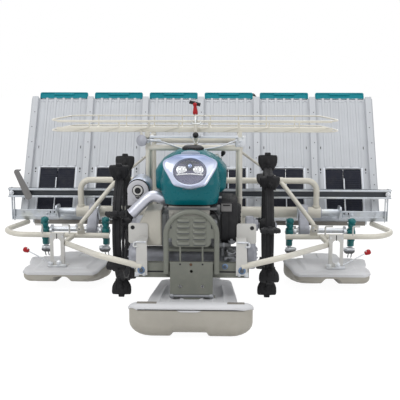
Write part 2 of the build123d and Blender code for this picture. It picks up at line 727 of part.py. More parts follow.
# ---------------------------------------------------------------- seedling tray
tray_parts = [tray_box(-TRAY_W / 2, TRAY_W / 2, 0, TRAY_LEN, -TRAY_T, 0)]
dividers = []
for i in range(7):
    x = ROW_PITCH * (i - 3)
    half = DIVIDER_W / 2
    x = max(-TRAY_W / 2 + half, min(TRAY_W / 2 - half, x))
    dividers.append(tray_box(x - half, x + half, 0, TRAY_LEN, 0, DIVIDER_H))
export(joined(*dividers), "tray_dividers")
for row in ROWS:
    for dx in (-90, -45, 0, 45, 90):
        tray_parts.append(tray_box(row + dx - 6, row + dx + 6, BELT_LEN + 20, TRAY_LEN, 0, 5))
# shoes that run in the rail
for i in range(5):
    x = ROW_PITCH * (i - 2)
    tray_parts.append(block(x - 16, x + 16, 64, 84, 251.3, 295))
with BuildPart() as tray:
    for piece in tray_parts:
        add(piece)
    for row in ROWS:
        window = tray_box(row - BELT_W / 2, row + BELT_W / 2, BELT_UP, BELT_UP + BELT_LEN, -TRAY_T - 1, 6)
        add(window, mode=Mode.SUBTRACT)
export(tray.part, "seedling_tray")

belts = []
for row in ROWS:
    side_plane = Plane(origin=tray_point(row - BELT_W / 2, 0, 0), x_dir=(0, math.cos(tilt), math.sin(tilt)),
                       z_dir=(1, 0, 0))
    with BuildPart() as belt:
        with BuildSketch(side_plane):
            with Locations((BELT_UP + BELT_LEN / 2, -10)):
                SlotOverall(BELT_LEN - 2, 22)
        extrude(amount=BELT_W)
    belts.append(belt.part)
export(joined(*belts), "feed_belts")

extensions = []
for row in ROWS:
    left, right = row - EXT_W / 2, row + EXT_W / 2
    extensions.append(tray_box(left, right, TRAY_LEN, TRAY_LEN + EXT_LEN, -TRAY_T, -2))
    extensions.append(tray_box(left, right, TRAY_LEN - 30, TRAY_LEN + 3, -TRAY_T - 6, -TRAY_T))
export(joined(*extensions), "tray_extensions")

rods = []
for row in ROWS:
    route = [(6, -4), (6, 20), (187, 20)]
    rods.append(bent_tube([tray_point(row, up, out) for up, out in route], 3.0, 8.0))
export(cut(joined(*rods), tray.part), "press_rods")

# ---------------------------------------------------------------- floats
# rows run back from the nose: distance, half width to the right, to the left, sole z, deck z, tunnel height
CENTRE_ROWS = [
    (0, 190, 190, 62, 118, 6),
    (16, 224, 224, 34, 128, 12),
    (50, 240, 240, 12, 133, 14),
    (110, 242, 242, 0, 130, 14),
    (220, 180, 180, 0, 116, 14),
    (390, 164, 164, 0, 102, 8),
    (550, 104, 104, 0, 88, 2),
    (1210, 100, 100, 0, 66, 2),
    (1300, 80, 80, 12, 60, 2),
]
SIDE_ROWS = [
    (0, 146, 132, 60, 86, 4),
    (16, 172, 160, 49, 92, 14),
    (96, 186, 164, 29, 97, 26),
    (118, 188, 146, 24, 98, 26),
    (166, 196, 150, 11, 100, 22),
    (194, 202, 176, 3, 106, 16),
    (256, 210, 184, 0, 112, 8),
    (272, 200, 176, 0, 110, 4),
    (280, 92, 92, 0, 80, 2),
    (572, 85, 85, 0, 60, 2),
    (622, 68, 68, 14, 52, 2),
]
SIDE_NOSE = -452.0
CENTRE_TUNNEL, SIDE_TUNNEL = 50.0, 40.0   # half widths
BILGE, GUNWALE = 22.0, 10.0              # rounding below and above a float's side


def float_section(right, left, sole, deck, tunnel_half, tunnel):
    """Outline of a float across X, clockwise from the tunnel's roof."""
    low = min(BILGE, (deck - sole) / 3)
    return [
        (-tunnel_half + 8, sole + tunnel), (-tunnel_half - 4, sole),
        (-right + 1.4 * low, sole), (-right + 0.4 * low, sole + 0.4 * low), (-right, sole + 1.3 * low),
        (-right, deck - GUNWALE), (-right + GUNWALE, deck),
        (left - GUNWALE, deck), (left, deck - GUNWALE),
        (left, sole + 1.3 * low), (left - 0.4 * low, sole + 0.4 * low), (left - 1.4 * low, sole),
        (tunnel_half + 4, sole), (tunnel_half - 8, sole + tunnel),
    ]


def float_part(nose, rows, tunnel_half):
    with BuildPart() as hull:
        for back, right, left, sole, deck, tunnel in rows:
            with BuildSketch(Plane(origin=(0, nose + back, 0), x_dir=(1, 0, 0), z_dir=(0, -1, 0))):
                with BuildLine():
                    Polyline(*float_section(right, left, sole, deck, tunnel_half, tunnel), close=True)
                make_face()
        loft(ruled=True)
    return hull.part


centre_float = float_part(LENGTH_FRONT, CENTRE_ROWS, CENTRE_TUNNEL)
export(centre_float, "centre_float")
# the wide half of a side float points to the machine's middle
side_float = float_part(SIDE_NOSE, SIDE_ROWS, SIDE_TUNNEL).moved(Location((FLOAT_X, 0, 0)))
export(side_float, "left_float")
export(side_float.mirror(Plane.YZ), "right_float")

# hangers that carry the floats, and the lock levers on the outer ones
HANGER_X = 655.0
with BuildPart() as hanger:
    with BuildSketch(Plane.XZ.offset(380)):
        with Locations((HANGER_X, 184)):
            RectangleRounded(66, 164, 5)
            SlotOverall(112, 34, rotation=90, mode=Mode.SUBTRACT)
    extrude(amount=4)
    for x in (HANGER_X - 31, HANGER_X + 31):
        with Locations((x, -368, 184)):
            Box(4, 26, 160)
    with Locations((HANGER_X, -362, 105)):
        Box(90, 44, 6)
    with Locations((HANGER_X, -362, 99)):
        Box(50, 30, 12)
hangers = both(hanger.part)
export(cut(hangers, both(side_float), side_guards), "float_hangers")

lock_lever = joined(
    bent_tube([(HANGER_X + 36, -372, 120), (795, -380, 180)], 3.0, 0),
    rod_x(HANGER_X + 33, HANGER_X + 40, -372, 119, 7.0),
)
with BuildPart() as lock_knob:
    with Locations((800, -380, 183)):
        Sphere(12)
export(both(joined(lock_lever, lock_knob.part)), "lock_levers")

# links that carry the centre float under the gearbox
float_link = joined(
    both(link_plate(40, 46, [(-470, 186, 14.0), (-470, 88, 16.0)])),
    rod_x(-46, 46, -470, 96, 8.0),
    block(-50, 50, -500, -440, 76, 86),
)
export(cut(float_link, gearbox.part, centre_float), "float_link")

# ---------------------------------------------------------------- handlebars and controls
HANDLE_X = 230.0
GRIP_LEN = 140.0
handle = bent_tube(
    [(HANDLE_X, BEAM_Y, BEAM_Z - BEAM_R + 2), (HANDLE_X, BEAM_Y, 214), (HANDLE_X, 150, 214),
     (HANDLE_X + 30, 640, 560),
     (HANDLE_X + 70, LENGTH_REAR - 190, 815), (HANDLE_X + 70, LENGTH_REAR - 2, 815)],
    TUBE_R, [30.0, 90.0, 200.0, 60.0])
cross_tube = rod_x(-HANDLE_X - 28, HANDLE_X + 28, 640, 560, 12.0)
handlebars = joined(both(handle), cross_tube, rod_x(-HANDLE_X, HANDLE_X, 240, 280, 12.0))
export(cut(handlebars, planting_frame), "handlebars")

with BuildPart() as grip:
    with BuildSketch(Plane(origin=(HANDLE_X + 70, LENGTH_REAR - GRIP_LEN, 815), z_dir=(0, 1, 0))):
        Circle(TUBE_R + 4)
        Circle(TUBE_R, mode=Mode.SUBTRACT)
    extrude(amount=GRIP_LEN)
export(both(grip.part), "grips")

console = joined(
    block(-130, 130, 600, 680, 566, 600),
    block(-110, 110, 610, 700, 600, 680),
    *[rod_z(680, 780, x, 650, 5.0) for x in (-70, 0, 70)],
    *[rod_z(780, 812, x, 650, 11.0) for x in (-70, 0, 70)],
)
export(cut(console, handlebars), "console")
clutch = both(joined(
    block(HANDLE_X + 64, HANDLE_X + 76, 960, 980, 829, 850),
    bent_tube([(HANDLE_X + 70, 975, 848), (HANDLE_X + 70, 1000, 862), (HANDLE_X + 70, 1110, 862)], 4.0, 16.0),
))
export(cut(clutch, handlebars), "clutch_levers")

# rear support of the tray: a rail behind its upper part, on posts from the handlebars
SUPPORT_UP, SUPPORT_R = 430.0, 14.0
support_y = tray_point(0, SUPPORT_UP, -TRAY_T - 6 - SUPPORT_R).Y
support_z = tray_point(0, SUPPORT_UP, -TRAY_T - 6 - SUPPORT_R).Z
support = joined(
    rod_x(-700, 700, support_y, support_z, SUPPORT_R),
    *[rod_x(x - 12, x + 12, support_y, support_z, SUPPORT_R + 5.7) for x in (-680, -340, 340, 680)],
    both(bent_tube([(HANDLE_X + 12, support_y, support_z), (HANDLE_X + 12, support_y, 330)], 11.0, 0)),
)
export(cut(support, handlebars), "tray_support")
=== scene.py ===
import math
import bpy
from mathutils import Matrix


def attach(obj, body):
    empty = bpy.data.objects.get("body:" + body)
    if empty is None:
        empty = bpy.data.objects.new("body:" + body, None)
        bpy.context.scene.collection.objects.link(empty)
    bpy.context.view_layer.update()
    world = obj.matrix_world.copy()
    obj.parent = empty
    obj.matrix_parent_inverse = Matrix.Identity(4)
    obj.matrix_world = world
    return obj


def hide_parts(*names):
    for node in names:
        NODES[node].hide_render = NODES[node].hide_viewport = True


bl_info = {
    "name": "Rice Transplanter Looks",
    "version": (1, 0, 0),
    "blender": (4, 5, 0),
    "location": "3D View > Sidebar > Transplanter",
    "description": "Finishes and detail pieces for a walk-behind six-row rice transplanter",
    "category": "Object",
}

import bmesh
import bpy
import numpy as np
from bpy.props import FloatProperty, FloatVectorProperty, IntProperty, PointerProperty
from mathutils import Matrix, Vector

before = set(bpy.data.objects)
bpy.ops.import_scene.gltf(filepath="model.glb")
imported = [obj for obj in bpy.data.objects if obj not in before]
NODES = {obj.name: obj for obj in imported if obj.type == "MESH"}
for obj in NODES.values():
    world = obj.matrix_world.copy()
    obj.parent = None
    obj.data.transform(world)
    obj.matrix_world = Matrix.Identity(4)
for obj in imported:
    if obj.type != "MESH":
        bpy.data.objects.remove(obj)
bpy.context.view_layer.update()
MM = 0.001
ROW_PITCH = 300.0                       # millimetres, as all shapes are until they are done
ROWS = [ROW_PITCH * (i - 2.5) for i in range(6)]


# ------------------------------------------------------------------ studio
FLOOR_SIZE = 14.0
FLOOR_GREY = (0.86, 0.86, 0.86, 1.0)
FLOOR_GLOW, GLOW_SHARE = 1.12, 0.86     # white that the camera sees, and its share over the shaded floor
SKY_LEVEL = 0.42                        # light that the surroundings give
LAMPS = [                               # name, place, size, power
    ("key", (-2.6, -3.6, 3.6), 2.6, 95.0), ("fill", (3.2, -3.0, 2.4), 3.0, 45.0),
    ("top", (0.2, 0.4, 4.2), 3.2, 70.0), ("rear", (1.0, 4.4, 2.6), 3.0, 40.0),
]
LAMPS_AIM = (0.0, -0.2, 0.35)
EYE = (0.147, -4.45, 1.15)
EYE_DOWN, EYE_LEFT = 10.07, 1.8         # degrees
LENS, SENSOR = 80.1, 36.0


# ------------------------------------------------------------------ shader maths
class Value:
    """A socket in a node tree; arithmetic on it adds Math nodes."""

    def __init__(self, nodes, socket):
        self.nodes = nodes
        self.socket = socket

    def _maths(self, operation, first, second):
        return self.nodes.node("ShaderNodeMath", {"operation": operation}, {0: first, 1: second})

    def __add__(self, other):
        return self._maths("ADD", self, other)

    def __radd__(self, other):
        return self._maths("ADD", other, self)

    def __mul__(self, other):
        return self._maths("MULTIPLY", self, other)

    def __rmul__(self, other):
        return self._maths("MULTIPLY", other, self)


class Nodes:
    """A node tree that grows by one method."""

    def __init__(self, tree):
        self.tree = tree

    def node(self, kind, settings=None, sockets=None, output=0):
        """Adds a node: settings first, then the values or links of its sockets."""
        made = self.tree.nodes.new(kind)
        for key, value in (settings or {}).items():
            setattr(made, key, value)
        for key, value in (sockets or {}).items():
            if isinstance(value, Value):
                self.tree.links.new(value.socket, made.inputs[key])
            else:
                made.inputs[key].default_value = value
        return Value(self, made.outputs[output])

    def seen_directly(self):
        """1 for what the camera sees, also in metal and clear plastic, and 0 for light on its way."""
        rays = [self.node("ShaderNodeLightPath", output=name)
                for name in ("Is Camera Ray", "Is Glossy Ray", "Is Transmission Ray")]
        return self.node("ShaderNodeClamp", {}, {0: rays[0] + rays[1] + rays[2]})


class Finish(Nodes):
    """One procedural material, built round a Principled shader."""

    def __init__(self, name, **fixed):
        self.material = bpy.data.materials.new(name)
        self.material.use_nodes = True
        super().__init__(self.material.node_tree)
        self.shader = self.tree.nodes["Principled BSDF"]
        for socket, value in fixed.items():
            self.shader.inputs[socket.replace("_", " ")].default_value = value

    def feed(self, socket, value):
        """Links a value to one of the shader's sockets."""
        self.tree.links.new(value.socket, self.shader.inputs[socket])

    def place(self):
        """Position on the piece at rest, in metres."""
        return self.node("ShaderNodeTexCoord", output=3)

    def axis(self, index):
        """One coordinate of the position at rest."""
        return self.node("ShaderNodeSeparateXYZ", {}, {0: self.place()}, output=index)

    def noise(self, scale, detail=3.0, stretch=(1.0, 1.0, 1.0), roughness=0.55):
        """Soft noise about 0.5, with features of 1 / scale metres."""
        stretched = self.node("ShaderNodeVectorMath", {"operation": "MULTIPLY"},
                              {0: self.place(), 1: stretch})
        return self.node("ShaderNodeTexNoise", {}, {
            "Vector": stretched, "Scale": scale, "Detail": detail, "Roughness": roughness})

    def cells(self, scale):
        """A random grey for each cell of a crystal pattern."""
        crystals = self.node("ShaderNodeTexVoronoi", {}, {"Vector": self.place(), "Scale": scale}, output=1)
        return self.node("ShaderNodeSeparateColor", {}, {0: crystals})

    def mix(self, factor, first, second):
        """A colour between two others."""
        return self.node("ShaderNodeMix", {"data_type": "RGBA"}, {0: factor, 6: first, 7: second}, output=2)

    def between(self, value, low, high, low_to=0.0, high_to=1.0):
        """The value moved from one range to another, held at its ends."""
        return self.node("ShaderNodeMapRange", {}, {0: value, 1: low, 2: high, 3: low_to, 4: high_to})

    def spread(self, noise, low=0.0, high=1.0):
        """Noise, which keeps mostly between 0.3 and 0.7, drawn out to a range."""
        return self.between(noise, 0.3, 0.7, low, high)

    def bump(self, height, strength, distance):
        """Feeds a height, in units of distance metres, to the normal."""
        self.feed("Normal", self.node("ShaderNodeBump", {}, {
            "Strength": strength, "Distance": distance, "Height": height}))


def tint(colour, factor):
    """A colour made lighter or darker, as a shader colour."""
    return (*(min(1.0, part * factor) for part in colour[:3]), 1.0)


def painted(name, colour, roughness=0.38, coat=0.25, peel=0.25, dust=0.18, shine=0.35):
    """Sprayed paint: a soft orange peel, slight fading and dust towards the ground."""
    finish = Finish(name, Coat_Roughness=0.25, Coat_Weight=coat, Specular_IOR_Level=shine)
    fade = finish.noise(9.0, 4.0)
    low = finish.between(finish.axis(2), 0.0, 0.55, dust, 0.0)
    grime = finish.between(finish.noise(34.0, 5.0), 0.42, 0.72) * low
    body = finish.mix(finish.spread(fade), tint(colour, 0.93), tint(colour, 1.05))
    finish.feed("Base Color", finish.mix(grime, body, (0.32, 0.29, 0.24, 1.0)))
    finish.feed("Roughness", finish.spread(finish.noise(60.0, 3.0), roughness - 0.07, roughness + 0.09))
    finish.bump(finish.noise(420.0, 2.0), peel, 0.0004)
    return finish.material


def moulded(name, colour, roughness=0.5, grain=900.0, depth=0.3, variation=0.05, dust=0.15):
    """Moulded plastic: fine grain, faint flow marks and dust low down."""
    finish = Finish(name, Specular_IOR_Level=0.22)
    flow = finish.noise(5.0, 4.0, (1.0, 1.0, 2.2))
    low = finish.between(finish.axis(2), 0.0, 0.16, dust, 0.0)
    grime = finish.between(finish.noise(26.0, 6.0), 0.4, 0.75) * low
    body = finish.mix(finish.spread(flow), tint(colour, 1.0 - variation), tint(colour, 1.0 + variation))
    finish.feed("Base Color", finish.mix(grime, body, (0.30, 0.27, 0.22, 1.0)))
    finish.feed("Roughness", finish.spread(finish.noise(45.0, 4.0), roughness - 0.06, roughness + 0.1))
    finish.bump(finish.noise(grain, 3.0), depth, 0.0003)
    return finish.material


def galvanised(name, colour=(0.56, 0.58, 0.61), roughness=0.36, spangle=70.0):
    """Zinc-coated steel: crystals of slightly different grey, with a warm and a blue cast."""
    finish = Finish(name, Metallic=0.75)
    crystals = finish.cells(spangle)
    cast = finish.noise(14.0, 3.0)
    cool = finish.mix(crystals, tint(colour, 0.88), tint(colour, 1.1))
    warm = (colour[0] * 1.12, colour[1] * 1.08, colour[2] * 0.9, 1.0)
    finish.feed("Base Color", finish.mix(finish.between(cast, 0.52, 0.7, 0.0, 0.5), cool, warm))
    finish.feed("Roughness", finish.between(crystals, 0.0, 1.0, roughness - 0.08, roughness + 0.1))
    finish.bump(finish.noise(700.0, 2.0), 0.15, 0.0002)
    return finish.material


def cast_metal(name, colour=(0.50, 0.52, 0.54), metallic=0.35, roughness=0.55):
    """Sand-cast alloy: a coarse grain and soft darker patches."""
    finish = Finish(name, Metallic=metallic)
    patches = finish.noise(22.0, 5.0)
    finish.feed("Base Color", finish.mix(finish.spread(patches), tint(colour, 0.84), tint(colour, 1.08)))
    finish.feed("Roughness", finish.spread(patches, roughness + 0.08, roughness - 0.05))
    finish.bump(finish.noise(520.0, 4.0, roughness=0.7), 0.5, 0.0005)
    return finish.material


def rubber(name, colour=(0.018, 0.018, 0.020), roughness=0.62):
    """Black rubber, a little chalky where it has been handled."""
    finish = Finish(name, Specular_IOR_Level=0.22)
    chalk = finish.between(finish.noise(30.0, 6.0), 0.5, 0.8, 0.0, 0.3)
    finish.feed("Base Color", finish.mix(chalk, tint(colour, 1.0), (0.05, 0.05, 0.05, 1.0)))
    finish.feed("Roughness", finish.spread(finish.noise(80.0, 3.0), roughness - 0.1, roughness + 0.12))
    finish.bump(finish.noise(800.0, 3.0), 0.35, 0.0004)
    return finish.material


def chrome(name, colour=(0.75, 0.76, 0.78), roughness=0.12):
    """Bright plated metal."""
    finish = Finish(name, Metallic=1.0)
    marks = finish.noise(120.0, 4.0)
    finish.feed("Base Color", finish.mix(marks, tint(colour, 0.95), tint(colour, 1.0)))
    finish.feed("Roughness", finish.spread(marks, roughness, roughness + 0.08))
    return finish.material


def bezel_painted_reflection(name, colour, upper):
    """Silvered plastic of the headlamp's shield, with a darker, bluer painted reflection along its upper
    edge.
    """
    finish = Finish(name, Coat_Weight=0.5, Coat_Roughness=0.1, Metallic=0.2)
    # painted reflection: above this height the shield's colour turns darker and bluer
    high = finish.between(finish.axis(2), 0.655, 0.684)
    finish.feed("Base Color", finish.mix(high, tint(colour, 1.0), tint(upper, 1.0)))
    finish.feed("Roughness", finish.spread(finish.noise(40.0, 3.0), 0.18, 0.26))
    return finish.material


def clear(name, colour=(0.85, 0.87, 0.95), share=0.07, roughness=0.04):
    """Clear plastic, seen mostly by its reflections."""
    finish = Finish(name, Roughness=roughness, Coat_Weight=0.2, Coat_Roughness=0.05, Alpha=share)
    finish.feed("Base Color", finish.mix(finish.noise(30.0), tint(colour, 0.97), tint(colour, 1.0)))
    return finish.material


# ------------------------------------------------------------------ settings
def colour_setting(label, about, default):
    return FloatVectorProperty(name=label, description=about, subtype="COLOR", size=3, min=0.0, max=1.0,
                               default=default)


class TransplanterColours(bpy.types.PropertyGroup):
    """Colours of the machine's finishes."""

    cream: colour_setting("Cream tubes", "Paint of the tubes and guards", (0.66, 0.635, 0.56))
    olive: colour_setting("Olive chassis", "Paint of the front guard and chassis", (0.17, 0.178, 0.152))
    teal: colour_setting("Teal hood", "Colour of the hood", (0.0, 0.125, 0.15))
    teal_arm: colour_setting("Teal arms", "Paint of the planting arms", (0.0, 0.135, 0.145))
    teal_strip: colour_setting("Teal strips", "Plastic of the tray's extensions", (0.0, 0.19, 0.235))
    tray: colour_setting("Tray", "Plastic of the seedling tray", (0.54, 0.56, 0.59))
    float_top: colour_setting("Float top", "Plastic of the floats, above the lip", (0.62, 0.625, 0.645))
    float_sole: colour_setting("Float sole", "Plastic of the floats, below the lip", (0.42, 0.40, 0.355))
    white: colour_setting("White parts", "Paint of straps and hangers", (0.58, 0.575, 0.555))
    knob: colour_setting("Red knobs", "Plastic of the lever knobs", (0.36, 0.012, 0.016))


class TransplanterSizes(bpy.types.PropertyGroup):
    """Sizes of the detail that the frame does not hold."""

    bolt: FloatProperty(name="Bolt", description="Width of a bolt's head across its flats",
                        subtype="DISTANCE",
                        default=0.013, min=0.006, max=0.03)
    belt_ribs: IntProperty(name="Belt ribs", description="Cleats along a feed belt",
                           default=22, min=4, max=60)


# ------------------------------------------------------------------ mesh helpers
FINISHES = {}


def piece(name, bm, body, finish, sharp=35.0, replaces=()):
    """Turns a bmesh into a piece that rides on a body."""
    mesh = bpy.data.meshes.new(name)
    bmesh.ops.recalc_face_normals(bm, faces=bm.faces)
    bm.to_mesh(mesh)
    bm.free()
    mesh.materials.append(FINISHES[finish])
    mesh.polygons.foreach_set("use_smooth", [True] * len(mesh.polygons))
    mesh.set_sharp_from_angle(angle=math.radians(sharp))
    made = bpy.data.objects.new(name, mesh)
    bpy.context.scene.collection.objects.link(made)
    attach(made, body)
    if replaces:
        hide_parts(*replaces)
    return made


def weigh_normals(made):
    """Applies weighted normals, so that large flat faces stay flat beside their rounded edges."""
    modifier = made.modifiers.new("normals", "WEIGHTED_NORMAL")
    modifier.keep_sharp = True
    graph = bpy.context.evaluated_depsgraph_get()
    mesh = bpy.data.meshes.new_from_object(made.evaluated_get(graph))
    made.modifiers.remove(modifier)
    made.data = mesh


def cad_mesh(node):
    """The mesh of a CAD node with its flat faces whole again."""
    bm = bmesh.new()
    bm.from_mesh(NODES[node].data)
    bmesh.ops.remove_doubles(bm, verts=bm.verts, dist=1e-6)
    bmesh.ops.dissolve_limit(bm, angle_limit=math.radians(0.6), verts=bm.verts, edges=bm.edges)
    return bm


def rounded(node, body, finish, width, segments=2, corner=32.0):
    """Stands for a CAD node: the same solid with its edges rounded."""
    bm = cad_mesh(node)
    edges = [edge for edge in bm.edges
             if len(edge.link_faces) == 2 and edge.calc_face_angle(0.0) > math.radians(corner)]
    bmesh.ops.bevel(bm, geom=edges, offset=width, segments=segments, profile=0.5, affect="EDGES",
                    clamp_overlap=True)
    made = piece(node + "_looks", bm, body, finish, 40.0, (node,))
    weigh_normals(made)
    return made


def repaint(node, finish):
    """Gives a CAD node its finish."""
    mesh = NODES[node].data
    mesh.materials.clear()
    mesh.materials.append(FINISHES[finish])


# ------------------------------------------------------------------ operators
class TRANSPLANTER_OT_finishes(bpy.types.Operator):
    """Mix the paints, plastics and metals of the machine"""

    bl_idname = "transplanter.finishes"
    bl_label = "Finishes"

    def execute(self, context):
        hues = context.scene.transplanter_colours
        FINISHES.update({
            "cream": painted("cream_paint", hues.cream),
            "olive": painted("olive_paint", hues.olive, 0.45),
            "teal": painted("teal_hood", hues.teal, 0.3, 0.05, 0.12, 0.0, 0.2),
            "teal_arm": painted("teal_casting", hues.teal_arm, 0.35, 0.15, 0.5, 0.18, 0.25),
            "teal_strip": moulded("teal_strip", hues.teal_strip, 0.45),
            "tray": moulded("tray_plastic", hues.tray, 0.42, 1200.0, 0.12, 0.03),
            "float_top": moulded("float_top", hues.float_top, 0.5, 700.0, 0.2),
            "float_sole": moulded("float_sole", hues.float_sole, 0.55, 700.0, 0.3, 0.07, 0.4),
            "white": painted("white_paint", hues.white, 0.35, 0.2),
            "zinc": galvanised("zinc_plate"),
            "rail": galvanised("rail_zinc", (0.50, 0.53, 0.57), 0.42, 45.0),
            "grey": painted("grey_bar", (0.19, 0.185, 0.185), 0.42, 0.15),
            "slate": painted("slate_bar", (0.075, 0.085, 0.10), 0.45, 0.1),
            "bolt": chrome("bolt_zinc", (0.15, 0.22, 0.34), 0.3),
            "cast": cast_metal("grey_casting", (0.36, 0.37, 0.415)),
            "alloy": cast_metal("engine_alloy", (0.27, 0.28, 0.30), 0.5, 0.45),
            "engine": cast_metal("engine_casting", (0.16, 0.165, 0.17), 0.45, 0.5),
            "black": moulded("black_plastic", (0.016, 0.016, 0.018), 0.38, 900.0, 0.25, 0.1, 0.0),
            "rubber": rubber("wheel_rubber"),
            "belt": rubber("belt_rubber", (0.008, 0.010, 0.020), 0.55),
            "chrome": chrome("bright_plate"),
            "muffler": chrome("muffler_can", (0.56, 0.61, 0.72), 0.3),
            # the bezel's upper edge carries a painted reflection in darker blue
            "lamp": bezel_painted_reflection("lamp_bezel_painted_reflection", (0.62, 0.67, 0.84), (0.27, 0.34, 0.54)),
            "badge": painted("bare_badge", (0.20, 0.25, 0.34), 0.3, 0.3, 0.0, 0.0),
            "lamp_lilac": painted("lamp_lower", (0.12, 0.12, 0.20), 0.3, 0.4, 0.0, 0.0),
            "glass_blue": chrome("projector_glass", (0.30, 0.36, 0.55), 0.08),
            "clear": clear("lens_clear"),
            "strip": moulded("white_strip", (0.72, 0.75, 0.80), 0.4, 1200.0, 0.1, 0.03, 0.0),
            "shield": painted("muffler_shield", (0.50, 0.50, 0.53), 0.4, 0.1),
            "duct": chrome("duct_steel", (0.50, 0.51, 0.57), 0.36),
            "rust": painted("rusty_bolt", (0.10, 0.05, 0.025), 0.6, 0.0),
            # painted shade: dark brown for slabs set where the tray's underside and each float pocket lie
            # in shade
            "painted_shade": painted("painted_shade_slab", (0.20, 0.185, 0.165), 0.5, 0.1),
            "cowl": painted("engine_cowl", (0.36, 0.35, 0.32), 0.5, 0.1),
            "red": moulded("red_knob", hues.knob, 0.3, 900.0, 0.1, 0.05, 0.0),
        })
        return {"FINISHED"}


# node: slot, finish, edge rounding in millimetres (0 keeps the CAD node and only paints it)
ROUNDED = {
    "belt_cover": ("cream_paint", "cream", 5.0),
    "chassis": ("olive_paint", "olive", 1.5),
    "console": ("black_plastic", "black", 2.5),
    "end_arm": ("bar_grey", "grey", 1.2),
    "engine": ("engine_dark", "engine", 2.0),
    "float_hangers": ("white_paint", "white", 1.0),
    "float_link": ("zinc", "zinc", 1.0),
    "front_guard": ("olive_paint", "olive", 0.8),
    "front_plate": ("olive_paint", "olive", 1.0),
    # painted shade: the guide bar's dark slate stands for the shade in its channel; the bright strips added
    # with the rails are its painted highlights
    "guide_bar": ("bar_grey", "slate", 1.0),
    "handlebars": ("cream_paint", "cream", 0),
    "lift_cylinder": ("zinc", "zinc", 1.5),
    "lock_levers": ("zinc", "zinc", 0),
    "louvre_plate": ("olive_paint", "olive", 1.0),
    "planting_beam": ("cream_paint", "cream", 1.5),
    "planting_cases": ("cast_grey", "cast", 3.0),
    "rack_frame": ("cream_paint", "cream", 0.8),
    "rail_brackets": ("bar_grey", "rail", 1.2),
    "rocker_links": ("zinc", "rail", 1.0),
    "seedling_rack": ("white_paint", "cream", 0),
    "spine": ("cast_grey", "cast", 0),
    "stays": ("cream_paint", "cream", 0),
    "straps": ("white_paint", "white", 1.0),
    "transmission": ("cast_grey", "cast", 4.0),
    "tray_rail": ("zinc", "rail", 1.0),
    "tray_support": ("cream_paint", "cream", 0),
    "upper_frame": ("cream_paint", "cream", 0),
}
MOVING = {
    "planting_cranks": ("cranks", "zinc", "zinc", 1.0),
    "planting_arms": ("arms", "teal_cast", "teal_arm", 3.0),
    "planting_claws": ("arms", "zinc", "zinc", 0.8),
    "left_swing_leg": ("left_leg", "cast_grey", "cast", 3.0),
    "right_swing_leg": ("right_leg", "cast_grey", "cast", 3.0),
    "seedling_tray": ("tray", "tray_plastic", "tray", 0.8),
    "tray_dividers": ("tray", "tray_plastic", "tray", 4.0),
}


class TRANSPLANTER_OT_rounded(bpy.types.Operator):
    """Round the edges of the sheet-metal and cast pieces, and paint them"""

    bl_idname = "transplanter.rounded"
    bl_label = "Rounded pieces"

    def execute(self, context):
        rows = [(node, "machine", *row) for node, row in ROUNDED.items()]
        rows += [(node, *row) for node, row in MOVING.items()]
        for node, body, slot, finish, width in rows:
            if width:
                rounded(node, body, finish, width * MM)
            else:
                repaint(node, finish)
        return {"FINISHED"}


# ------------------------------------------------------------------ making shapes
def resampled(rows, step, soften):
    """Rows of numbers led by y, sampled every step and smoothed so that their corners are round."""
    rows = np.array(rows, float)
    ys = np.append(np.arange(rows[0, 0], rows[-1, 0], step), rows[-1, 0])
    fine = np.stack([np.interp(ys, rows[:, 0], column) for column in rows.T], axis=1)
    for _ in range(soften):
        fine[1:-1, 1:] = 0.25 * fine[:-2, 1:] + 0.5 * fine[1:-1, 1:] + 0.25 * fine[2:, 1:]
    return fine


def rounded_rect(width, height, radius, steps=5):
    """Outline of a rectangle with round corners, counterclockwise."""
    radius = min(radius, width / 2 - 0.01, height / 2 - 0.01)
    points = []
    for k, (sx, sy) in enumerate(((1, 1), (-1, 1), (-1, -1), (1, -1))):
        for i in range(steps + 1):
            turn = math.pi / 2 * (k + i / steps)
            points.append((sx * (width / 2 - radius) + radius * math.cos(turn),
                           sy * (height / 2 - radius) + radius * math.sin(turn)))
    return points


def around(count):
    """Evenly spaced angles of a full turn."""
    return [2 * math.pi * i / count for i in range(count)]


def ellipse(x, y, across, up, count):
    """Outline of an ellipse about a place."""
    return [(x + across * math.cos(turn), y + up * math.sin(turn)) for turn in around(count)]


def leaning(place, degrees):
    """A frame at a place, turned about x."""
    return Matrix.Translation(place) @ Matrix.Rotation(math.radians(degrees), 4, "X")


def bent(points, radius, steps=6):
    """A polyline with its corners turned into arcs."""
    points = [Vector(point) for point in points]
    path = [points[0]]
    for before, corner, after in zip(points, points[1:], points[2:]):
        first, second = (before - corner), (after - corner)
        reach = min(radius, first.length * 0.49, second.length * 0.49)
        start = corner + first.normalized() * reach
        end = corner + second.normalized() * reach
        for i in range(steps + 1):
            t = i / steps
            path.append(start * (1 - t) ** 2 + corner * 2 * t * (1 - t) + end * t ** 2)
    path.append(points[-1])
    return path


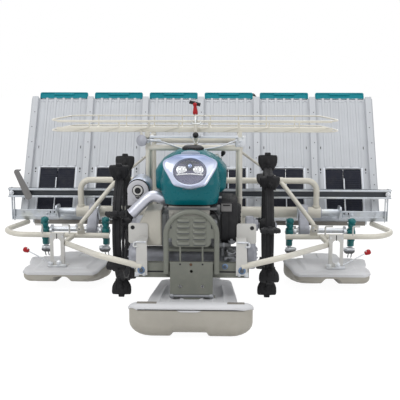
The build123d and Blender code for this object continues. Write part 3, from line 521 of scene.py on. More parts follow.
class Shape:
    """A mesh in the making, in millimetres of the machine's frame or of a frame of its own."""

    def __init__(self, at=None):
        self.bm = bmesh.new()
        self.at = at or Matrix()

    def ring(self, points):
        return [self.bm.verts.new(self.at @ Vector(point)) for point in points]

    def skin(self, rings, caps=(True, True), closed=False):
        """Joins rings of equally many points with quads."""
        made = [self.ring(points) for points in rings]
        pairs = list(zip(made, made[1:]))
        if closed:
            pairs.append((made[-1], made[0]))
        for first, second in pairs:
            for i in range(len(first)):
                j = (i + 1) % len(first)
                self.bm.faces.new((first[i], first[j], second[j], second[i]))
        if not closed:
            if caps[0]:
                self.bm.faces.new(made[0][::-1])
            if caps[1]:
                self.bm.faces.new(made[-1])

    def turned(self, centre, axis, profile, steps=24, closed=False):
        """A turned form: profile is (distance along the axis, radius) from end to end."""
        axis = Vector(axis).normalized()
        side = axis.orthogonal().normalized()
        across = axis.cross(side)
        centre = Vector(centre)
        rings = []
        for along, radius in profile:
            radius = max(radius, 0.01)
            rings.append([centre + axis * along + (side * math.cos(turn) + across * math.sin(turn)) * radius
                          for turn in around(steps)])
        self.skin(rings, closed=closed)

    def bolt(self, centre, axis, flats, washer=True):
        """A hexagon head on its washer; centre lies on the clamped face."""
        axis = Vector(axis).normalized()
        if washer:
            self.turned(centre, axis, [(0, flats * 0.98), (flats * 0.1, flats * 0.98),
                                       (flats * 0.14, flats * 0.9)], 20)
        corner = flats / math.sqrt(3)
        self.turned(Vector(centre) + axis * flats * 0.12, axis,
                    [(0, corner), (flats * 0.45, corner), (flats * 0.55, corner * 0.84)], 6)
        self.turned(Vector(centre) + axis * flats * 0.5, axis,
                    [(0, flats * 0.3), (flats * 0.22, flats * 0.3), (flats * 0.28, flats * 0.24)], 10)

    def bolt_circle(self, centre, radius, count, axis, flats, start=0.0, washer=False):
        """Bolts on a circle in a plane square to x."""
        x, y, z = centre
        for turn in around(count):
            turn += start
            self.bolt((x, y + radius * math.cos(turn), z + radius * math.sin(turn)), axis, flats, washer)

    def tube(self, points, radius, steps=12, closed=False):
        """A round tube through points; radius is a number, or a function of the share of its length."""
        points = [Vector(point) for point in points]
        count = len(points)
        rings, side = [], None
        for i, point in enumerate(points):
            before = points[i - 1] if i or closed else point
            after = points[(i + 1) % count] if i + 1 < count or closed else point
            along = (after - before).normalized()
            if side is None:
                side = along.orthogonal().normalized()
            side = (side - along * side.dot(along)).normalized()
            across = along.cross(side)
            size = radius(i / (count - 1)) if callable(radius) else radius
            rings.append([point + (side * math.cos(turn) + across * math.sin(turn)) * size
                          for turn in around(steps)])
        self.skin(rings, closed=closed)

    def slab(self, low, high, edge=0.0):
        """A box between two corners with its upright edges and rims rounded."""
        (x0, y0, z0), (x1, y1, z1) = low, high
        middle = ((x0 + x1) / 2, (y0 + y1) / 2)
        edge = min(edge, (x1 - x0) * 0.45, (y1 - y0) * 0.45, (z1 - z0) * 0.45)
        levels = [(z0, 0.0), (z1, 0.0)] if edge <= 0 else [
            (z0, edge), (z0 + edge * 0.3, edge * 0.3), (z0 + edge, 0.0), (z1 - edge, 0.0),
            (z1 - edge * 0.3, edge * 0.3), (z1, edge)]
        self.skin([[(middle[0] + x, middle[1] + y, z) for x, y in
                    rounded_rect(x1 - x0 - 2 * inset, y1 - y0 - 2 * inset, max(edge * 1.2 - inset, 0.3), 3)]
                   for z, inset in levels])

    def plate(self, outline, low, high, edge=0.0):
        """An outline in the frame's own XY plane, raised from low to high, with its upper rim rounded."""
        centre = (sum(x for x, _ in outline) / len(outline), sum(y for _, y in outline) / len(outline))

        def shrunk(inset):
            out = []
            for x, y in outline:
                reach = math.hypot(x - centre[0], y - centre[1]) or 1.0
                share = 1 - inset / reach
                out.append((centre[0] + (x - centre[0]) * share, centre[1] + (y - centre[1]) * share))
            return out
        levels = [(low, 0.0), (high - edge, 0.0)]
        if edge > 0:
            levels += [(high - edge * 0.3, edge * 0.3), (high, edge)]
        self.skin([[(x, y, z) for x, y in shrunk(inset)] for z, inset in levels])

    def done(self, name, body, slot, finish, sharp=35.0, replaces=()):
        """Makes the object, from millimetres to metres, and sets it to ride on its body."""
        bmesh.ops.scale(self.bm, vec=(MM, MM, MM), verts=self.bm.verts)
        return piece(name, self.bm, body, finish, sharp, replaces)


HOOD_X = -7.0
TRAY_TILT = math.radians(57.3)
TRAY_FRAME = Matrix.Translation((0.0, 50.0, 285.0)) @ Matrix((
    (1.0, 0.0, 0.0, 0.0),
    (0.0, math.cos(TRAY_TILT), -math.sin(TRAY_TILT), 0.0),
    (0.0, math.sin(TRAY_TILT), math.cos(TRAY_TILT), 0.0),
    (0.0, 0.0, 0.0, 1.0)))
LAMP_LEAN = 0.42
LAMP_FRAME = Matrix.Translation((HOOD_X, -862.0, 626.0)) @ Matrix((
    (1.0, 0.0, 0.0, 0.0),
    (0.0, math.sin(LAMP_LEAN), -math.cos(LAMP_LEAN), 0.0),
    (0.0, math.cos(LAMP_LEAN), math.sin(LAMP_LEAN), 0.0),
    (0.0, 0.0, 0.0, 1.0)))


# ------------------------------------------------------------------ floats
# y, half width to the right, to the left, sole z, deck z, tunnel height
CENTRE_ROWS = [
    (-1146, 196, 208, 66, 144, 4), (-1141, 218, 230, 42, 153, 8), (-1130, 231, 243, 26, 156, 12),
    (-1112, 236, 248, 15, 152, 16), (-1090, 236, 248, 7, 151, 16), (-1074, 232, 244, 2, 150, 14),
    (-1060, 222, 232, 0, 118, 14), (-1040, 206, 214, 0, 112, 14), (-1008, 184, 190, 0, 110, 12),
    (-840, 176, 184, 0, 106, 8), (-520, 154, 164, 0, 87, 4), (-480, 112, 112, 0, 82, 2),
    (60, 100, 100, 0, 66, 2), (149, 80, 80, 12, 60, 2),
]
SIDE_ROWS = [
    (-450, 150, 150, 56, 98, 16), (-436, 172, 176, 46, 104, 22), (-356, 180, 180, 26, 104, 32),
    (-300, 190, 168, 8, 104, 32), (-258, 202, 180, 2, 107, 20), (-196, 210, 184, 0, 112, 8),
    (-180, 200, 176, 0, 110, 4), (-170, 94, 94, 0, 80, 2), (120, 85, 85, 0, 60, 2),
    (169, 68, 68, 14, 52, 2),
]
CORE = [c / 24 for c in range(-24, 25)]


def hull_points(half, wide, steps=6):
    """Places across one side of a float: (share of the flat middle, x, how far down its rounded edge)."""
    flat = max(half - wide, 1.0)
    edge = [(1.0, flat + (half - flat) * math.sin(turn), 1 - math.cos(turn))
            for turn in (math.pi / 2 * i / steps for i in range(1, steps + 1))]
    return [(share, flat * share, 0.0) for share in CORE if share >= 0] + edge


def hull_ring(row, x_mid, low, high, bilge, brim):
    """One ring across a float: along its underside to the left, and back along its upper side.

    bilge and brim are (reach to the right, reach to the left, height) of the rounded edges.
    """
    y, right, left = row[0], row[1], row[2]

    def side(half, sign, level, wide, deep, turn):
        return [(x_mid + sign * x, y, level(sign * share, sign * x) + turn * deep * down)
                for share, x, down in hull_points(half, wide)]
    under = side(right, -1, low, bilge[0], bilge[2], 1)[::-1]
    under += side(left, 1, low, bilge[1], bilge[2], 1)[1:]
    upper = side(left, 1, high, brim[1], brim[2], -1)[::-1]
    upper += side(right, -1, high, brim[0], brim[2], -1)[1:]
    return under + upper


def float_pieces(name, rows, x_mid, flip, lip_drop, ribs, dip, tunnel, bulge, replaced):
    """The sole and the deck of one float; tunnel is (half width, slope), bulge (y, right, left, brim)."""
    fine = resampled(rows, 7.0, 2)
    sole, deck = Shape(), Shape()
    soles, decks = [], []
    nose = fine[0, 0]
    for row in fine:
        y, right, left, bottom, top, high_tunnel = row
        near = min(max((bulge[0] - y) / 40.0, 0.0), 1.0)
        reach = [24 + (side - 24) * near for side in bulge[1:3]]
        brim_reach = 12 + (bulge[3] - 12) * near
        if flip:
            row = (y, left, right, bottom, top, high_tunnel)
            reach.reverse()
        thick = top - bottom
        deep = min(24.0 + 34.0 * near, thick * 0.46)

        def underside(share, x):
            wall = min(max((tunnel[0] - abs(x)) / tunnel[1] + 0.5, 0.0), 1.0)
            return bottom + high_tunnel * wall * wall * (3 - 2 * wall)

        front = min(max((nose + 60 - y) / 50, 0.0), 1.0)
        drop = lip_drop + (1 - front) * max(0.0, 36.0 - lip_drop) * (dip > 0)
        lip = max(top - drop, bottom + deep + 1)

        def brim_under(share, x):
            swell = min(max((abs(x) - 30) / 30, 0.0), 1.0)
            fall = min(max((abs(x) - 175) / 60, 0.0), 1.0)
            return lip + front * dip * (swell * swell * (3 - 2 * swell) - 0.5 - 0.9 * fall * fall)

        def upperside(share, x):
            raised = 0.0
            for centre, half, height, start, end in ribs:
                across = min(max((half - abs(abs(share) - centre)) / 0.05, 0.0), 1.0)
                along = min(max((y - start) / 16, 0.0), 1.0) * min(max((end - y) / 16, 0.0), 1.0)
                raised = max(raised, height * across * along)
            return top - 6 + raised
        soles.append(hull_ring((y + 3.0, *row[1:]), x_mid, underside,
                               lambda share, x: brim_under(share, x) + 2.0,
                               (*reach, deep), (0.5, 0.5, 0.5)))
        wide = (y, row[1] + 4, row[2] + 4)
        decks.append(hull_ring(wide, x_mid, brim_under, upperside, (1.5, 1.5, 1.5),
                               (brim_reach, brim_reach, min(20.0, (top - 6 - lip) * (0.5 + 0.35 * near)))))
    sole.skin(soles)
    deck.skin(decks)
    sole.done(name + "_sole", "machine", "float_plastic", "float_sole", 45.0, (replaced,))
    deck.done(name + "_deck", "machine", "float_plastic", "float_top", 45.0)


class TRANSPLANTER_OT_floats(bpy.types.Operator):
    """Blow-moulded centre and side floats: pale ribbed decks over twin-lobed soles"""

    bl_idname = "transplanter.floats"
    bl_label = "Floats"

    def execute(self, context):
        ribs = [(share, 0.06, 7.0, -1000, -640) for share in (0.24, 0.50, 0.76)]
        ribs.append((0.50, 0.30, 5.0, -540, 100))
        float_pieces("centre_float", CENTRE_ROWS, 0.0, False, 17.0, ribs, 11.0, (72.0, 12.0),
                     (-1020, 84.0, 84.0, 36.0), "centre_float")
        steps = [(0.30, 0.46, 6.0, -405, -190), (0.0, 0.30, 6.0, -120, 130)]
        for name, x_mid, flip in (("left_float", 632.0, False), ("right_float", -632.0, True)):
            float_pieces(name, SIDE_ROWS, x_mid, flip, 18.0, steps, 0.0,
                         (38.0, 26.0), (-175, 84.0, 34.0, 16.0), name)
        # hinge under the front plate: rod with domed ends, and its block on the float
        hinge, block = Shape(), Shape()
        for side in (-1, 1):
            hinge.turned((side * 74, -902, 117), (side, 0, 0),
                         [(0, 7.5), (3, 10), (12, 10), (16, 7), (18, 3)], 18)
        hinge.tube([(-76, -902, 117), (76, -902, 117)], 6.0, 12)
        block.slab((-44, -900, 92), (46, -862, 122), 4)
        block.slab((-92, -886, 96), (98, -868, 112), 3)
        # painted shade: dark slabs laid on the deck where each sunk pocket behind the deck's raised nose
        # lies in shade
        pocket_shade = Shape()
        for x0, x1 in ((-206, -128), (148, 216)):
            pocket_shade.slab((x0, -1118, 138), (x1, -1088, 147.6), 2)
        pocket_shade.done("float_pocket_shade", "machine", "float_plastic", "painted_shade", 40.0)
        hinge.done("float_hinge", "machine", "zinc", "alloy", 40.0)
        block.done("float_hinge_block", "machine", "olive_paint", "olive", 40.0)
        return {"FINISHED"}


# ------------------------------------------------------------------ hood and headlamp
HOOD_NOSE = [                           # z, width, front y, rear y, corner radius
    (491, 222, -856, -560, 56), (512, 236, -866, -556, 62), (575, 249, -874, -552, 66),
    (640, 230, -850, -574, 66), (682, 170, -814, -626, 58), (698, 130, -792, -650, 48),
    (703, 110, -782, -660, 42),
]
HOOD_CHEEK = [
    (526, 262, -760, -556, 30), (545, 296, -786, -552, 44), (620, 300, -790, -556, 48),
    (662, 238, -780, -606, 46), (688, 160, -770, -644, 40), (694, 126, -760, -652, 36),
]


def hood_body(shape, rows, levels):
    """A smooth body lofted through a table of rounded sections."""
    fine = resampled(rows, (rows[-1][0] - rows[0][0]) / levels, 2)
    rings = []
    for z, width, front, rear, corner in fine:
        middle = (front + rear) / 2
        rings.append([(x, middle + y, z) for x, y in rounded_rect(width, rear - front, corner, 9)])
    shape.skin(rings)


BEZEL = [(-54, 76), (-114, 48), (-110, 22), (-67, -55), (0, -69), (67, -55), (110, 22), (114, 48), (54, 76)]


def outline_by_angle(outline, count, soften):
    """Distance from the middle to a closed outline for evenly spaced angles, its corners rounded."""
    reach = []
    for turn in around(count):
        ray = Vector((math.cos(turn), math.sin(turn)))
        best = 0.0
        for (x0, y0), (x1, y1) in zip(outline, outline[1:] + outline[:1]):
            edge = Vector((x1 - x0, y1 - y0))
            cross = ray.x * edge.y - ray.y * edge.x
            if abs(cross) > 1e-9:
                along = (x0 * edge.y - y0 * edge.x) / cross
                share = (x0 * ray.y - y0 * ray.x) / cross
                if along > 0 and -1e-6 <= share <= 1 + 1e-6:
                    best = max(best, along)
        reach.append(best)
    for _ in range(soften):
        reach = [0.25 * reach[i - 1] + 0.5 * reach[i] + 0.25 * reach[(i + 1) % count] for i in range(count)]
    return reach


class TRANSPLANTER_OT_hood(bpy.types.Operator):
    """Moulded hood with its rubber seam, bare oval plate and fuel cap"""

    bl_idname = "transplanter.hood"
    bl_label = "Hood"

    def execute(self, context):
        shell = Shape(Matrix.Translation((HOOD_X, 0.0, 0.0)))
        hood_body(shell, HOOD_NOSE, 44)
        hood_body(shell, HOOD_CHEEK, 36)
        shell.done("hood_shell", "machine", "teal_paint", "teal", 50.0, ("hood",))
        seam = Shape(Matrix.Translation((HOOD_X, 0.0, 0.0)))
        seam.skin([[(x, -708 + y, z) for x, y in rounded_rect(214 + grow, 288 + grow, 54)]
                   for z, grow in ((483, -14), (484, -4), (491, 0), (493, -2))])
        seam.done("hood_seam", "machine", "black_plastic", "black", 40.0)
        plate = Shape(leaning((HOOD_X, -800.0, 695.0), 46))
        oval = ellipse(0, 0, 40, 15, 40)
        plate.plate(oval, -8.0, 4.0, 1.5)
        plate.done("hood_plate", "machine", "lamp_clear", "badge", 40.0)
        rim = Shape(plate.at.copy())
        rim.plate([(1.14 * x, 1.35 * y) for x, y in oval], -10.0, 1.5, 1.5)
        rim.done("hood_plate_rim", "machine", "teal_paint", "teal", 40.0)
        cap = Shape()
        cap.turned((0, -712, 694), (0, 0, 1), [(0, 31), (4, 31), (4, 42), (6, 44), (20, 42), (25, 36),
                                               (26, 10)], 48)
        for x, y in ellipse(0, -712, 43.5, 43.5, 24):
            cap.turned((x, y, 701), (0, 0, 1), [(0, 2.4), (9, 2.4), (11, 1.2)], 6)
        cap.done("fuel_cap_ribbed", "machine", "black_plastic", "black", 40.0, ("fuel_cap",))
        return {"FINISHED"}


class TRANSPLANTER_OT_headlamp(bpy.types.Operator):
    """Headlamp: bright shield bezel, reflector with a round projector, and clear lens"""

    bl_idname = "transplanter.headlamp"
    bl_label = "Headlamp"

    def execute(self, context):
        angles = around(96)
        reach = outline_by_angle(BEZEL, len(angles), 2)

        def shield(share, depth):
            return [(math.cos(turn) * r * share, math.sin(turn) * r * share, depth)
                    for turn, r in zip(angles, reach)]

        def oval(a, b, depth, shift=0.0):
            return [(math.cos(turn) * a, shift + math.sin(turn) * b, depth) for turn in angles]

        bezel = Shape(LAMP_FRAME)
        bezel.skin([shield(0.94, -46), shield(0.985, -8), shield(1.0, 2), shield(0.99, 8), shield(0.95, 12),
                    shield(0.90, 11), shield(0.86, 13), oval(75, 62, 16), oval(71, 58, 18),
                    oval(67, 54, 16), oval(65, 52, 8)], caps=(True, False))
        # raised seams that run from the eye to the shield's corners
        for x0, v0, x1, v1 in ((-62, 34, -96, 44), (62, 34, 96, 44), (-44, -46, -62, -56),
                               (44, -46, 62, -56)):
            bezel.tube([(x0, v0, 15), (x1, v1, 11)], 1.6, 8)
        bezel.done("headlamp_bezel", "machine", "lamp_clear", "lamp", 40.0, ("headlamp",))
        bowl, wings, dark = Shape(LAMP_FRAME), Shape(LAMP_FRAME), Shape(LAMP_FRAME)
        bowl.skin([oval(65.5, 52.5, 9), oval(62, 49, 5), oval(52, 41, 3), oval(30, 24, 2), oval(6, 5, 1.5)],
                  caps=(False, True))
        bowl.done("headlamp_bowl", "machine", "lamp_clear", "lamp_lilac", 40.0)
        # bright reflector: a lobe on each side of the projector and the band below it
        for side in (-1, 1):
            for along, reach, wide in ((34, 20, 15), (46, 12, 19), (22, 12, 12)):
                wings.skin([[(side * along + math.cos(t) * reach * size,
                              10 + math.sin(t) * wide * size, high)
                             for t in around(24)]
                            for size, high in ((1.0, 2), (0.92, 7), (0.7, 9.5), (0.2, 10.5))])
        wings.tube([(x, -8 - 0.0016 * x * x, 6) for x in range(-54, 55, 6)], 3.4, 10)
        wings.tube([(x, 22 + 0.0016 * x * x, 6) for x in range(-50, 51, 10)], 1.6, 8)
        wings.done("headlamp_reflector", "machine", "lamp_clear", "chrome", 50.0)
        dark.turned((0, 26, 3), (0, 0, 1), [(0, 17), (8, 17), (9, 15), (8, 12), (4, 11)], 36)
        dark.tube([(x, 44 - 0.007 * x * x, 8) for x in range(-36, 37, 6)], 3.2, 8)
        dark.tube(oval(67.5, 54.5, 15.8), 1.4, 8, closed=True)
        for x in (-24, -12, 0, 12, 24):
            dark.slab((x - 4, -74.5, 9), (x + 4, -72, 12.6), 0.6)
        dark.done("headlamp_dark", "machine", "black_plastic", "slate", 40.0)
        eye = Shape(LAMP_FRAME)
        eye.turned((0, 26, 6), (0, 0, 1), [(0, 11), (3, 10), (6, 6.5), (7, 2)], 32)
        eye.done("headlamp_projector", "machine", "lamp_clear", "glass_blue", 60.0)
        lens = Shape(LAMP_FRAME)
        lens.skin([oval(65, 52.5, 11), oval(64.5, 52, 14), oval(58, 47, 18), oval(44, 36, 21),
                   oval(22, 18, 23), oval(4, 3, 23.5)])
        lens.done("headlamp_lens", "machine", "lamp_clear", "clear", 60.0)
        return {"FINISHED"}


# ------------------------------------------------------------------ wheels
AXLE_Y, AXLE_Z, WHEEL_X = -480.0, 330.0, 328.0
LUG_ROWS = [                            # height above the tip, width, thickness, corner
    (0, 22, 9, 3), (2, 26, 13, 4), (11, 28, 15, 4), (12, 76, 12, 4), (14, 82, 15, 5), (20, 87, 18, 7),
    (30, 88, 20, 8), (46, 86, 22, 9), (58, 78, 23, 9), (70, 63, 25, 9), (82, 50, 27, 9),
]
LUG_TURN = {-1: 25.0, 1: -7.0}          # how far each wheel has rolled past its lowest lug


def paddle_wheel(side):
    """Moulded rubber paddle wheel: rim, ribbed lugs, spokes and hub."""
    axle = (side * WHEEL_X, AXLE_Y, AXLE_Z)
    shape = Shape(Matrix.Translation(axle))
    half = 18.0
    rim = [(-half, 240), (-half, 258), (-half + 4, 262), (-6, 262), (-4, 259), (4, 259), (6, 262),
           (half - 4, 262), (half, 258), (half, 240), (half - 4, 237), (8, 237), (6, 240), (-6, 240),
           (-8, 237), (-half + 4, 237)]
    shape.turned((0, 0, 0), (1, 0, 0), rim, 96, closed=True)
    shape.turned((0, 0, 0), (1, 0, 0), [(-35, 13), (-35, 22), (-31, 26), (-22, 30), (22, 30), (31, 26),
                                        (35, 22), (35, 13)], 40, closed=True)
    for i in range(8):
        shape.at = leaning(axle, 45 * i + LUG_TURN[side])
        shape.skin([[(px, py, h - 330) for px, py in rounded_rect(width, thick, corner, 4)]
                    for h, width, thick, corner in LUG_ROWS])
        # stiffening ribs on both faces, deeper at the rim
        for rib_x, wide in ((-25, 5), (0, 11), (25, 5)):
            shape.skin([[(rib_x + px, py, h - 330) for px, py in rounded_rect(wide, thick, 2.4, 2)]
                        for h, thick in ((24, 14), (30, 24 if rib_x else 25), (62, 28 if rib_x else 31),
                                         (82, 28 if rib_x else 38))])
        # the two bosses that grip the rim's hoop
        for face in (-1, 1):
            shape.turned((0, face * 8, -284), (0, face, 0), [(0, 11), (6, 11), (8, 9), (9, 4)], 16)
    for i in range(6):
        shape.at = leaning(axle, 60 * i + 22.5 + LUG_TURN[side])
        shape.turned((0, 0, 26), (0, 0, 1), [(0, 11), (8, 9), (16, 6.6), (196, 6.6), (206, 9),
                                             (213, 11)], 14)
    return shape


class TRANSPLANTER_OT_wheels(bpy.types.Operator):
    """Paddle wheels of black rubber with ribbed lugs"""

    bl_idname = "transplanter.wheels"
    bl_label = "Paddle wheels"

    def execute(self, context):
        for side, name in ((-1, "right_wheel"), (1, "left_wheel")):
            paddle_wheel(side).done(name + "_rubber", name, "wheel_rubber", "rubber", 38.0, (name,))
            nuts = Shape()
            out = side * (WHEEL_X + 35)
            nuts.bolt_circle((out - side * 4, AXLE_Y, AXLE_Z), 20, 4, (side, 0, 0), 7, 0.4, True)
            nuts.done(name + "_nuts", name, "zinc", "zinc", 30.0)
        return {"FINISHED"}


# ------------------------------------------------------------------ seedling tray
BELT_HALF, BELT_LOW, BELT_HIGH = 92.0, 12.0, 252.0


class TRANSPLANTER_OT_tray(bpy.types.Operator):
    """Tray trim: scalloped head, window frames, black ellipses as painted shade in each slot and hole, ribs
    and the teal extension strips
    """

    bl_idname = "transplanter.tray"
    bl_label = "Seedling tray"

    def execute(self, context):
        heads, frames, slots, strips = (Shape(TRAY_FRAME) for _ in range(4))
        for row in ROWS:
            for i in range(9):
                x = row - 112 + 28 * i
                heads.tube([(x + 10.5 * math.cos(turn), 643 + 9 * math.sin(turn), 0.6)
                            for turn in (math.pi * k / 8 for k in range(9))], 1.7, 6)
            for x in (row - 67.5, row - 22.5, row + 22.5, row + 67.5):
                heads.tube([(x, 268, 0.4), (x, 640, 0.4)], 1.3, 6)
            for side in (-1, 1):
                x = row + side * (BELT_HALF + 7)
                frames.slab((x - 4.5, 10, 0), (x + 4.5, 256, 3.2), 1.2)
                # painted shade: black ellipses in each slot of the tray
                x = row + side * 117
                for up, half in ((246, 7), (228, 3.2)):
                    slots.plate(ellipse(x, up, 3.4, half, 14), 0.2, 0.9)
                x = row + side * 112
                slots.plate(ellipse(x, 372, 2.0, 9, 12), 0.2, 0.8)
            frames.slab((row - BELT_HALF, 253, -4), (row + BELT_HALF, 259, 2.6), 1.0)
            # extension strip: raised rim, recessed middle, two rounded ears
            strips.skin([[(row + x, 683 + y, d) for x, y in rounded_rect(262 - grow, 46 - grow, 9, 4)]
                         for d, grow in ((-13, 2), (-12, 0), (-1.5, 0),
                                         (0, 3), (0, 12), (-3, 15), (-3.2, 40))])
            strips.slab((row - 56, 688, -3), (row + 56, 700, 0.5), 2)
        # painted shade: black dots in the round holes between the rows
        for i in range(7):
            x = max(-908.0, min(908.0, 300.0 * (i - 3)))
            for up in (60, 150, 205, 300, 390, 480, 570):
                slots.plate(ellipse(x + (4 if up % 4 else -4), up, 2.6, 2.6, 12), 26.0, 26.7)
        heads.done("tray_head_scallops", "tray", "tray_plastic", "tray", 60.0)
        frames.done("tray_window_frames", "tray", "white_paint", "strip", 40.0)
        slots.done("tray_slot_shade", "tray", "black_plastic", "black", 40.0)
        strips.done("tray_strips", "tray", "teal_light", "teal_strip", 40.0, ("tray_extensions",))
        return {"FINISHED"}


class TRANSPLANTER_OT_belts(bpy.types.Operator):
    """Cleated rubber feed belts, their rollers and the shafts that drive them"""

    bl_idname = "transplanter.belts"
    bl_label = "Feed belts"

    def execute(self, context):
        cleats = context.scene.transplanter_sizes.belt_ribs
        belts, shafts, rods = Shape(TRAY_FRAME), Shape(TRAY_FRAME), Shape(TRAY_FRAME)
        low, high, radius, level = BELT_LOW + 12, BELT_HIGH - 12, 10.6, -10.0

        def loop(grow, steps=10):
            path = []
            for end, start in ((high, -math.pi / 2), (low, math.pi / 2)):
                for k in range(steps + 1):
                    turn = start + math.pi * k / steps
                    path.append((end + (radius + grow) * math.cos(turn),
                                 level + (radius + grow) * math.sin(turn)))
            return path
        for row in ROWS:
            for side in (-1, 1):
                edge_in, edge_out = row + side * 1.5, row + side * (BELT_HALF - 1.5)
                rings = [[(x, up, out) for up, out in loop(grow)] for x, grow in (
                    (edge_in, -1.5), (edge_in + side, -0.3), (edge_out - side, -0.3), (edge_out, -1.5))]
                belts.skin(rings)
                for k in range(cleats):
                    up = low - 4 + (high - low + 8) * k / (cleats - 1)
                    x0, x1 = sorted((edge_in + side * 3, edge_out - side * 3))
                    belts.slab((x0, up - 2.0, 0.0), (x1, up + 2.0, 1.6), 0.6)
            for up in (low, high):
                shafts.turned((row - BELT_HALF - 6, up, level), (1, 0, 0),
                              [(0, 5), (2 * BELT_HALF + 12, 5)], 6)
            rods.tube(bent([(row, 5, -3), (row, 5, 19), (row, 186, 19)], 9), 3.0, 10)
            rods.turned((row, 5, -1), (0, 0, 1), [(0, 7), (3, 7), (4, 5.5)], 6)
        shafts.turned((-915, 6, -22), (1, 0, 0), [(0, 8), (1830, 8)], 6)
        belts.done("feed_belts_cleated", "tray", "belt_rubber", "belt", 40.0, ("feed_belts",))
        shafts.done("belt_shafts", "tray", "zinc", "zinc", 30.0)
        rods.done("press_rods_round", "tray", "white_paint", "strip", 40.0, ("press_rods",))
        return {"FINISHED"}


# ------------------------------------------------------------------ engine
class TRANSPLANTER_OT_engine(bpy.types.Operator):
    """Engine: crankcase seams, fins, carburettor, hoses, recoil cover and covers' bolts"""

    bl_idname = "transplanter.engine"
    bl_label = "Engine"

    def execute(self, context):
        dark, bright, black = Shape(), Shape(), Shape()
        # bolts round the timing cover and on the crankcase, and ribs down its flanks
        for turn in around(8):
            bright.bolt((51 * math.cos(turn + 0.2), -808, 378 + 51 * math.sin(turn + 0.2)),
                        (0, -1, 0), 8, False)
        bright.turned((0, -814, 378), (0, -1, 0), [(0, 16), (5, 15), (6, 9), (12, 9), (13, 6)], 28)
        for x, z in ((-84, 406), (-92, 336), (46, 322), (92, 410)):
            bright.bolt((x, -812, z), (0, -1, 0), 12)
        for z in range(312, 436, 12):
            dark.slab((-131, -790, z), (-127, -650, z + 4), 1)
        for z in (444, 449, 454, 459, 464):
            dark.slab((-92, -790, z), (92, -612, z + 2.2), 1)
        for x in (-112, -66, 20, 72, 110):
            dark.slab((x - 2.5, -804, 306), (x + 2.5, -799, 436), 1)
        # carburettor: bowl screws, choke lever, filter and the clamp of its pipe
        bright.turned((158, -822, 247), (0, 0, 1), [(0, 5), (5, 6), (6, 16), (10, 18)], 20)
        bright.slab((140, -848, 262), (176, -842, 270), 2)
        bright.turned((158, -846, 279), (0, -1, 0), [(-6, 10), (0, 10), (2, 8), (3, 3)], 18)
        bright.turned((128, -822, 313), (1, 0, 0), [(0, 13), (7, 13), (8, 11)], 20)
        bright.turned((164, -822, 327), (0, 0, 1),
                      [(-6, 10), (0, 10), (1, 14), (6, 14), (7, 6), (14, 5)], 18)
        bright.tube(bent([(146, -846, 300), (150, -852, 288), (172, -852, 284), (182, -842, 292)], 9),
                    2.4, 8)
        bright.slab((120, -812, 262), (136, -806, 302), 3)
        for x, z in ((140, 262), (176, 262), (128, 270), (128, 294), (190, 300)):
            bright.bolt((x, -848 if x > 136 else -812, z), (0, -1, 0), 7)
        # breather filter and its hoses
        bright.turned((150, -776, 236), (0, 0, 1), [(0, 8), (4, 13), (34, 13), (40, 8), (54, 7)], 22)
        black.tube(bent([(150, -776, 238), (150, -790, 214), (128, -812, 208), (104, -814, 230),
                         (98, -816, 306)], 24),
                   4.4, 10)
        black.tube(bent([(180, -822, 262), (206, -800, 252), (206, -740, 262), (196, -700, 300)], 28),
                   4.4, 10)
        black.tube(bent([(60, -792, 462), (96, -812, 452), (118, -812, 400), (116, -812, 340)], 26), 3.4, 8)
        # cowl of the barrel, just below the hood
        cowl = Shape(Matrix.Translation((HOOD_X - 4, 0.0, 0.0)))
        cowl.skin([[(x * wide, -843 + y, z) for x, y in rounded_rect(2.0, 7, 2, 3)]
                   for z, wide in ((404, 76), (446, 84), (482, 86), (484, 84))])
        cowl.slab((-84, -842, 470), (84, -790, 485), 3)
        for x in (-70, 70):
            cowl.turned((x, -846, 452), (0, -1, 0), [(0, 6), (2, 6), (3, 4)], 14)
        cowl.done("engine_cowl", "machine", "engine_dark", "cowl", 38.0)
        # recoil cover: rounded square with a raised ring, radial slots round a bare disc, and a grip
        cover = Shape(Matrix.Translation((0.0, -706.0, 405.0)) @ Matrix((
            (0.0, 0.0, 1.0, 0.0), (1.0, 0.0, 0.0, 0.0), (0.0, 1.0, 0.0, 0.0), (0.0, 0.0, 0.0, 1.0))))
        cover.skin([[(y, z, x) for y, z in rounded_rect(206 - grow, 198 - grow, 50, 9)] for x, grow in (
            (122, 4), (123, 0), (150, 0), (151, 3), (154, 3), (155, 0), (168, 0),
            (173, 3), (180, 9), (186, 20), (189, 34), (190, 52), (190, 70))])
        cover.turned((0, 0, 188), (0, 0, 1), [(0, 69), (6, 68), (12, 65), (15, 60), (15, 46), (12, 44),
                                              (12, 8)], 56)
        for inner, outer in zip(ellipse(0, 0, 47, 47, 18), ellipse(0, 0, 61, 61, 18)):
            cover.tube([(*inner, 202), (*outer, 203)], 2.2, 8)
        cover.slab((-36, -94, 186), (36, -80, 192), 3)
        cover.done("recoil_cover", "machine", "black_plastic", "rubber", 38.0, ("recoil_housing",))
        # bare recess in the cover's front, framed, with the pull grip over it
        frame_rim = Shape()
        frame_rim.slab((119, -811.5, 489), (168, -806, 494), 1.5)
        frame_rim.slab((119, -811.5, 451), (168, -806, 455), 1.5)
        frame_rim.slab((117, -811.5, 451), (121, -806, 494), 1.5)
        frame_rim.slab((165, -811.5, 451), (169, -806, 494), 1.5)
        frame_rim.tube([(128, -813, 482), (158, -813, 482)], 3.0, 10)
        frame_rim.done("recoil_rim", "machine", "black_plastic", "black", 38.0)
        panel = Shape()
        panel.slab((121, -810, 455), (165, -807, 489), 0.6)
        panel.done("recoil_panel", "machine", "black_plastic", "grey", 40.0)
        dark.done("engine_ribs", "machine", "engine_dark", "engine", 35.0)
        bright.done("carburettor", "machine", "zinc", "alloy", 35.0)
        black.done("engine_hoses", "machine", "black_plastic", "rubber", 40.0)
        return {"FINISHED"}


